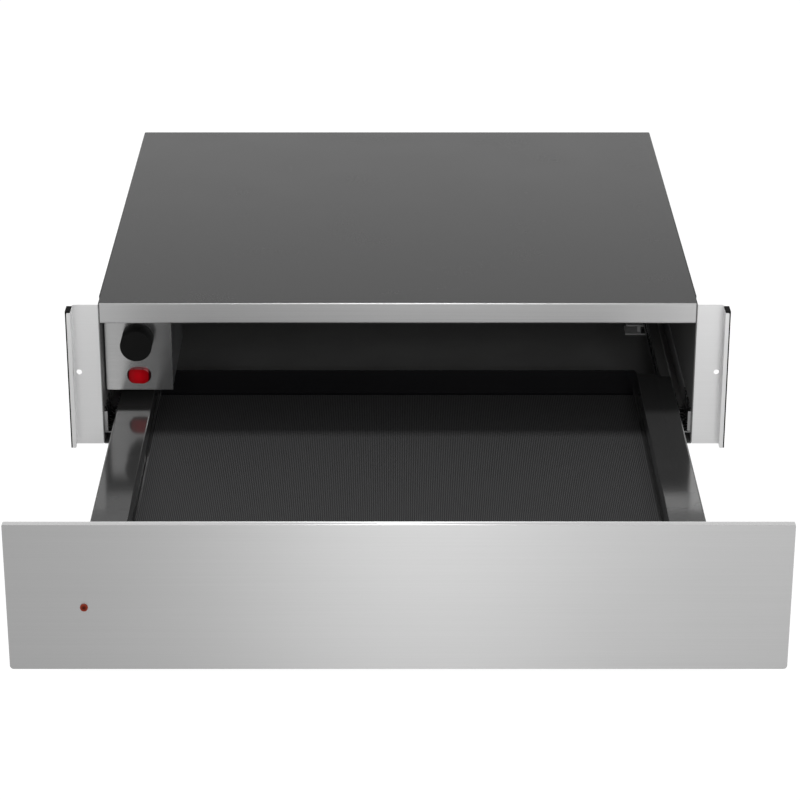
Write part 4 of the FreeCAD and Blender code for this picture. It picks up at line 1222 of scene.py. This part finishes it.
@dataclass
class Studio:
    """Pale floor, white surroundings, soft lamps and the camera.

    floor_white, mirrored and background are the strengths of what is seen directly, in gloss
    and past the floor; surround is the strength of what lights the object from all round.
    """

    floor_half: float = 12.0
    floor_gap: float = 0.4 * MM
    floor_greys: Tuple[Colour, Colour] = (grey(0.80), grey(0.82))
    floor_white: float = 1.14
    floor_share: float = 0.86
    surround: float = 0.24
    mirrored: float = 0.54
    background: float = 1.0
    lamps: Tuple[Lamp, ...] = (
        Lamp("overhead", (0.0, -0.12, 2.4), (0.0, -0.3, 0.0), 1.1, 0.32, 21.0),
        Lamp("front", (0.03, -2.7, 0.35), (0.0, -0.7, 0.05), 0.36, 0.6, 5.3),
        Lamp("fill", (0.6, -2.3, 0.94), (0.0, -0.2, 0.05), 0.6, 0.4, 7.0),
        Lamp("mouth", (0.0, -2.7, 0.74), (0.0, 0.1, 0.02), 0.5, 0.12, 1.0),
        Lamp("left", (-0.72, -2.3, 1.05), (-0.3, -0.25, 0.1), 0.25, 0.4, 1.6),
        Lamp("rear", (0.0, 3.0, 0.95), (0.0, 0.0, 0.1), 3.0, 0.3, 1.9),
    )
    lens: float = 122.49
    sensor: float = 36.0
    far: float = 60.0
    tilt: float = 67.05
    shift: float = 0.00825
    stand: Point = (-0.00395, -2.53645, 1.00848)

    def build(self) -> None:
        """Sets up the surroundings."""
        self._floor()
        self._world()
        for lamp in self.lamps:
            lamp.build()
        self._camera()
        bpy.context.scene.view_settings.view_transform = "Standard"

    @staticmethod
    def _rays(graph: Graph) -> Tuple[Wire, Wire]:
        """Masks of what a ray is.

        Args:
            graph: tree that the masks are for.

        Returns:
            1 for what is seen directly or through glass, and 1 for what is seen in gloss.
        """
        path = graph.node("ShaderNodeLightPath")
        camera, through, gloss = [Wire(graph, path.outputs[ray]) for ray in (
            "Is Camera Ray", "Is Transmission Ray", "Is Glossy Ray")]
        return (camera + through) > 0.5, gloss

    def _floor(self) -> None:
        """Pale floor that is nearly white to the eye and keeps a soft shadow."""
        graph = Graph.of_material("studio_floor")
        cloud = graph.noise(scale=1.5)
        matt = graph.wire("ShaderNodeBsdfDiffuse", None,
                          {"Color": graph.blend(cloud, *self.floor_greys)}, "BSDF")
        seen, gloss = self._rays(graph)
        level = seen * self.floor_white + gloss * self.mirrored
        white = graph.wire("ShaderNodeEmission", None, {"Color": WHITE, "Strength": level},
                           "Emission")
        graph.close(graph.wire("ShaderNodeMixShader", None, {
            0: (seen + gloss) * self.floor_share, 1: matt, 2: white}, "Shader"))
        half = self.floor_half
        mesh = bpy.data.meshes.new("floor")
        corners = [(x, y, -self.floor_gap) for x, y in
                   ((-half, -half), (half, -half), (half, half), (-half, half))]
        mesh.from_pydata(corners, [], [(0, 1, 2, 3)])
        mesh.materials.append(graph.owner)
        floor = bpy.data.objects.new("floor", mesh)
        bpy.context.scene.collection.objects.link(floor)

    def _world(self) -> None:
        """Even surroundings: white where they are seen, dimmer where they light the object."""
        graph = Graph.of_world("studio")
        bpy.context.scene.world = graph.owner
        seen, gloss = self._rays(graph)
        strength = (self.surround + seen * (self.background - self.surround)
                    + gloss * (self.mirrored - self.surround))
        graph.close(graph.wire("ShaderNodeBackground", None,
                               {"Color": WHITE, "Strength": strength}, "Background"))

    def _camera(self) -> None:
        """Long lens from the front, above the drawer."""
        data = bpy.data.cameras.new("camera")
        data.lens = self.lens
        data.sensor_width = self.sensor
        data.shift_x = self.shift
        data.clip_end = self.far
        camera = bpy.data.objects.new("camera", data)
        bpy.context.scene.collection.objects.link(camera)
        camera.location = self.stand
        camera.rotation_euler = (math.radians(self.tilt), 0.0, 0.0)
        bpy.context.scene.camera = camera


def main() -> None:
    """Builds the object's finishes and pieces, then the stage."""
    logging.basicConfig(level=logging.INFO, format="%(message)s")
    for part in (Casing(), Controls(), Slides(), Drawer(), Latch(), FanHeater(), Fasteners(),
                 Studio()):
        part.build()
        LOG.info("%s done", type(part).__name__)


if __name__ == "__main__":
    main()
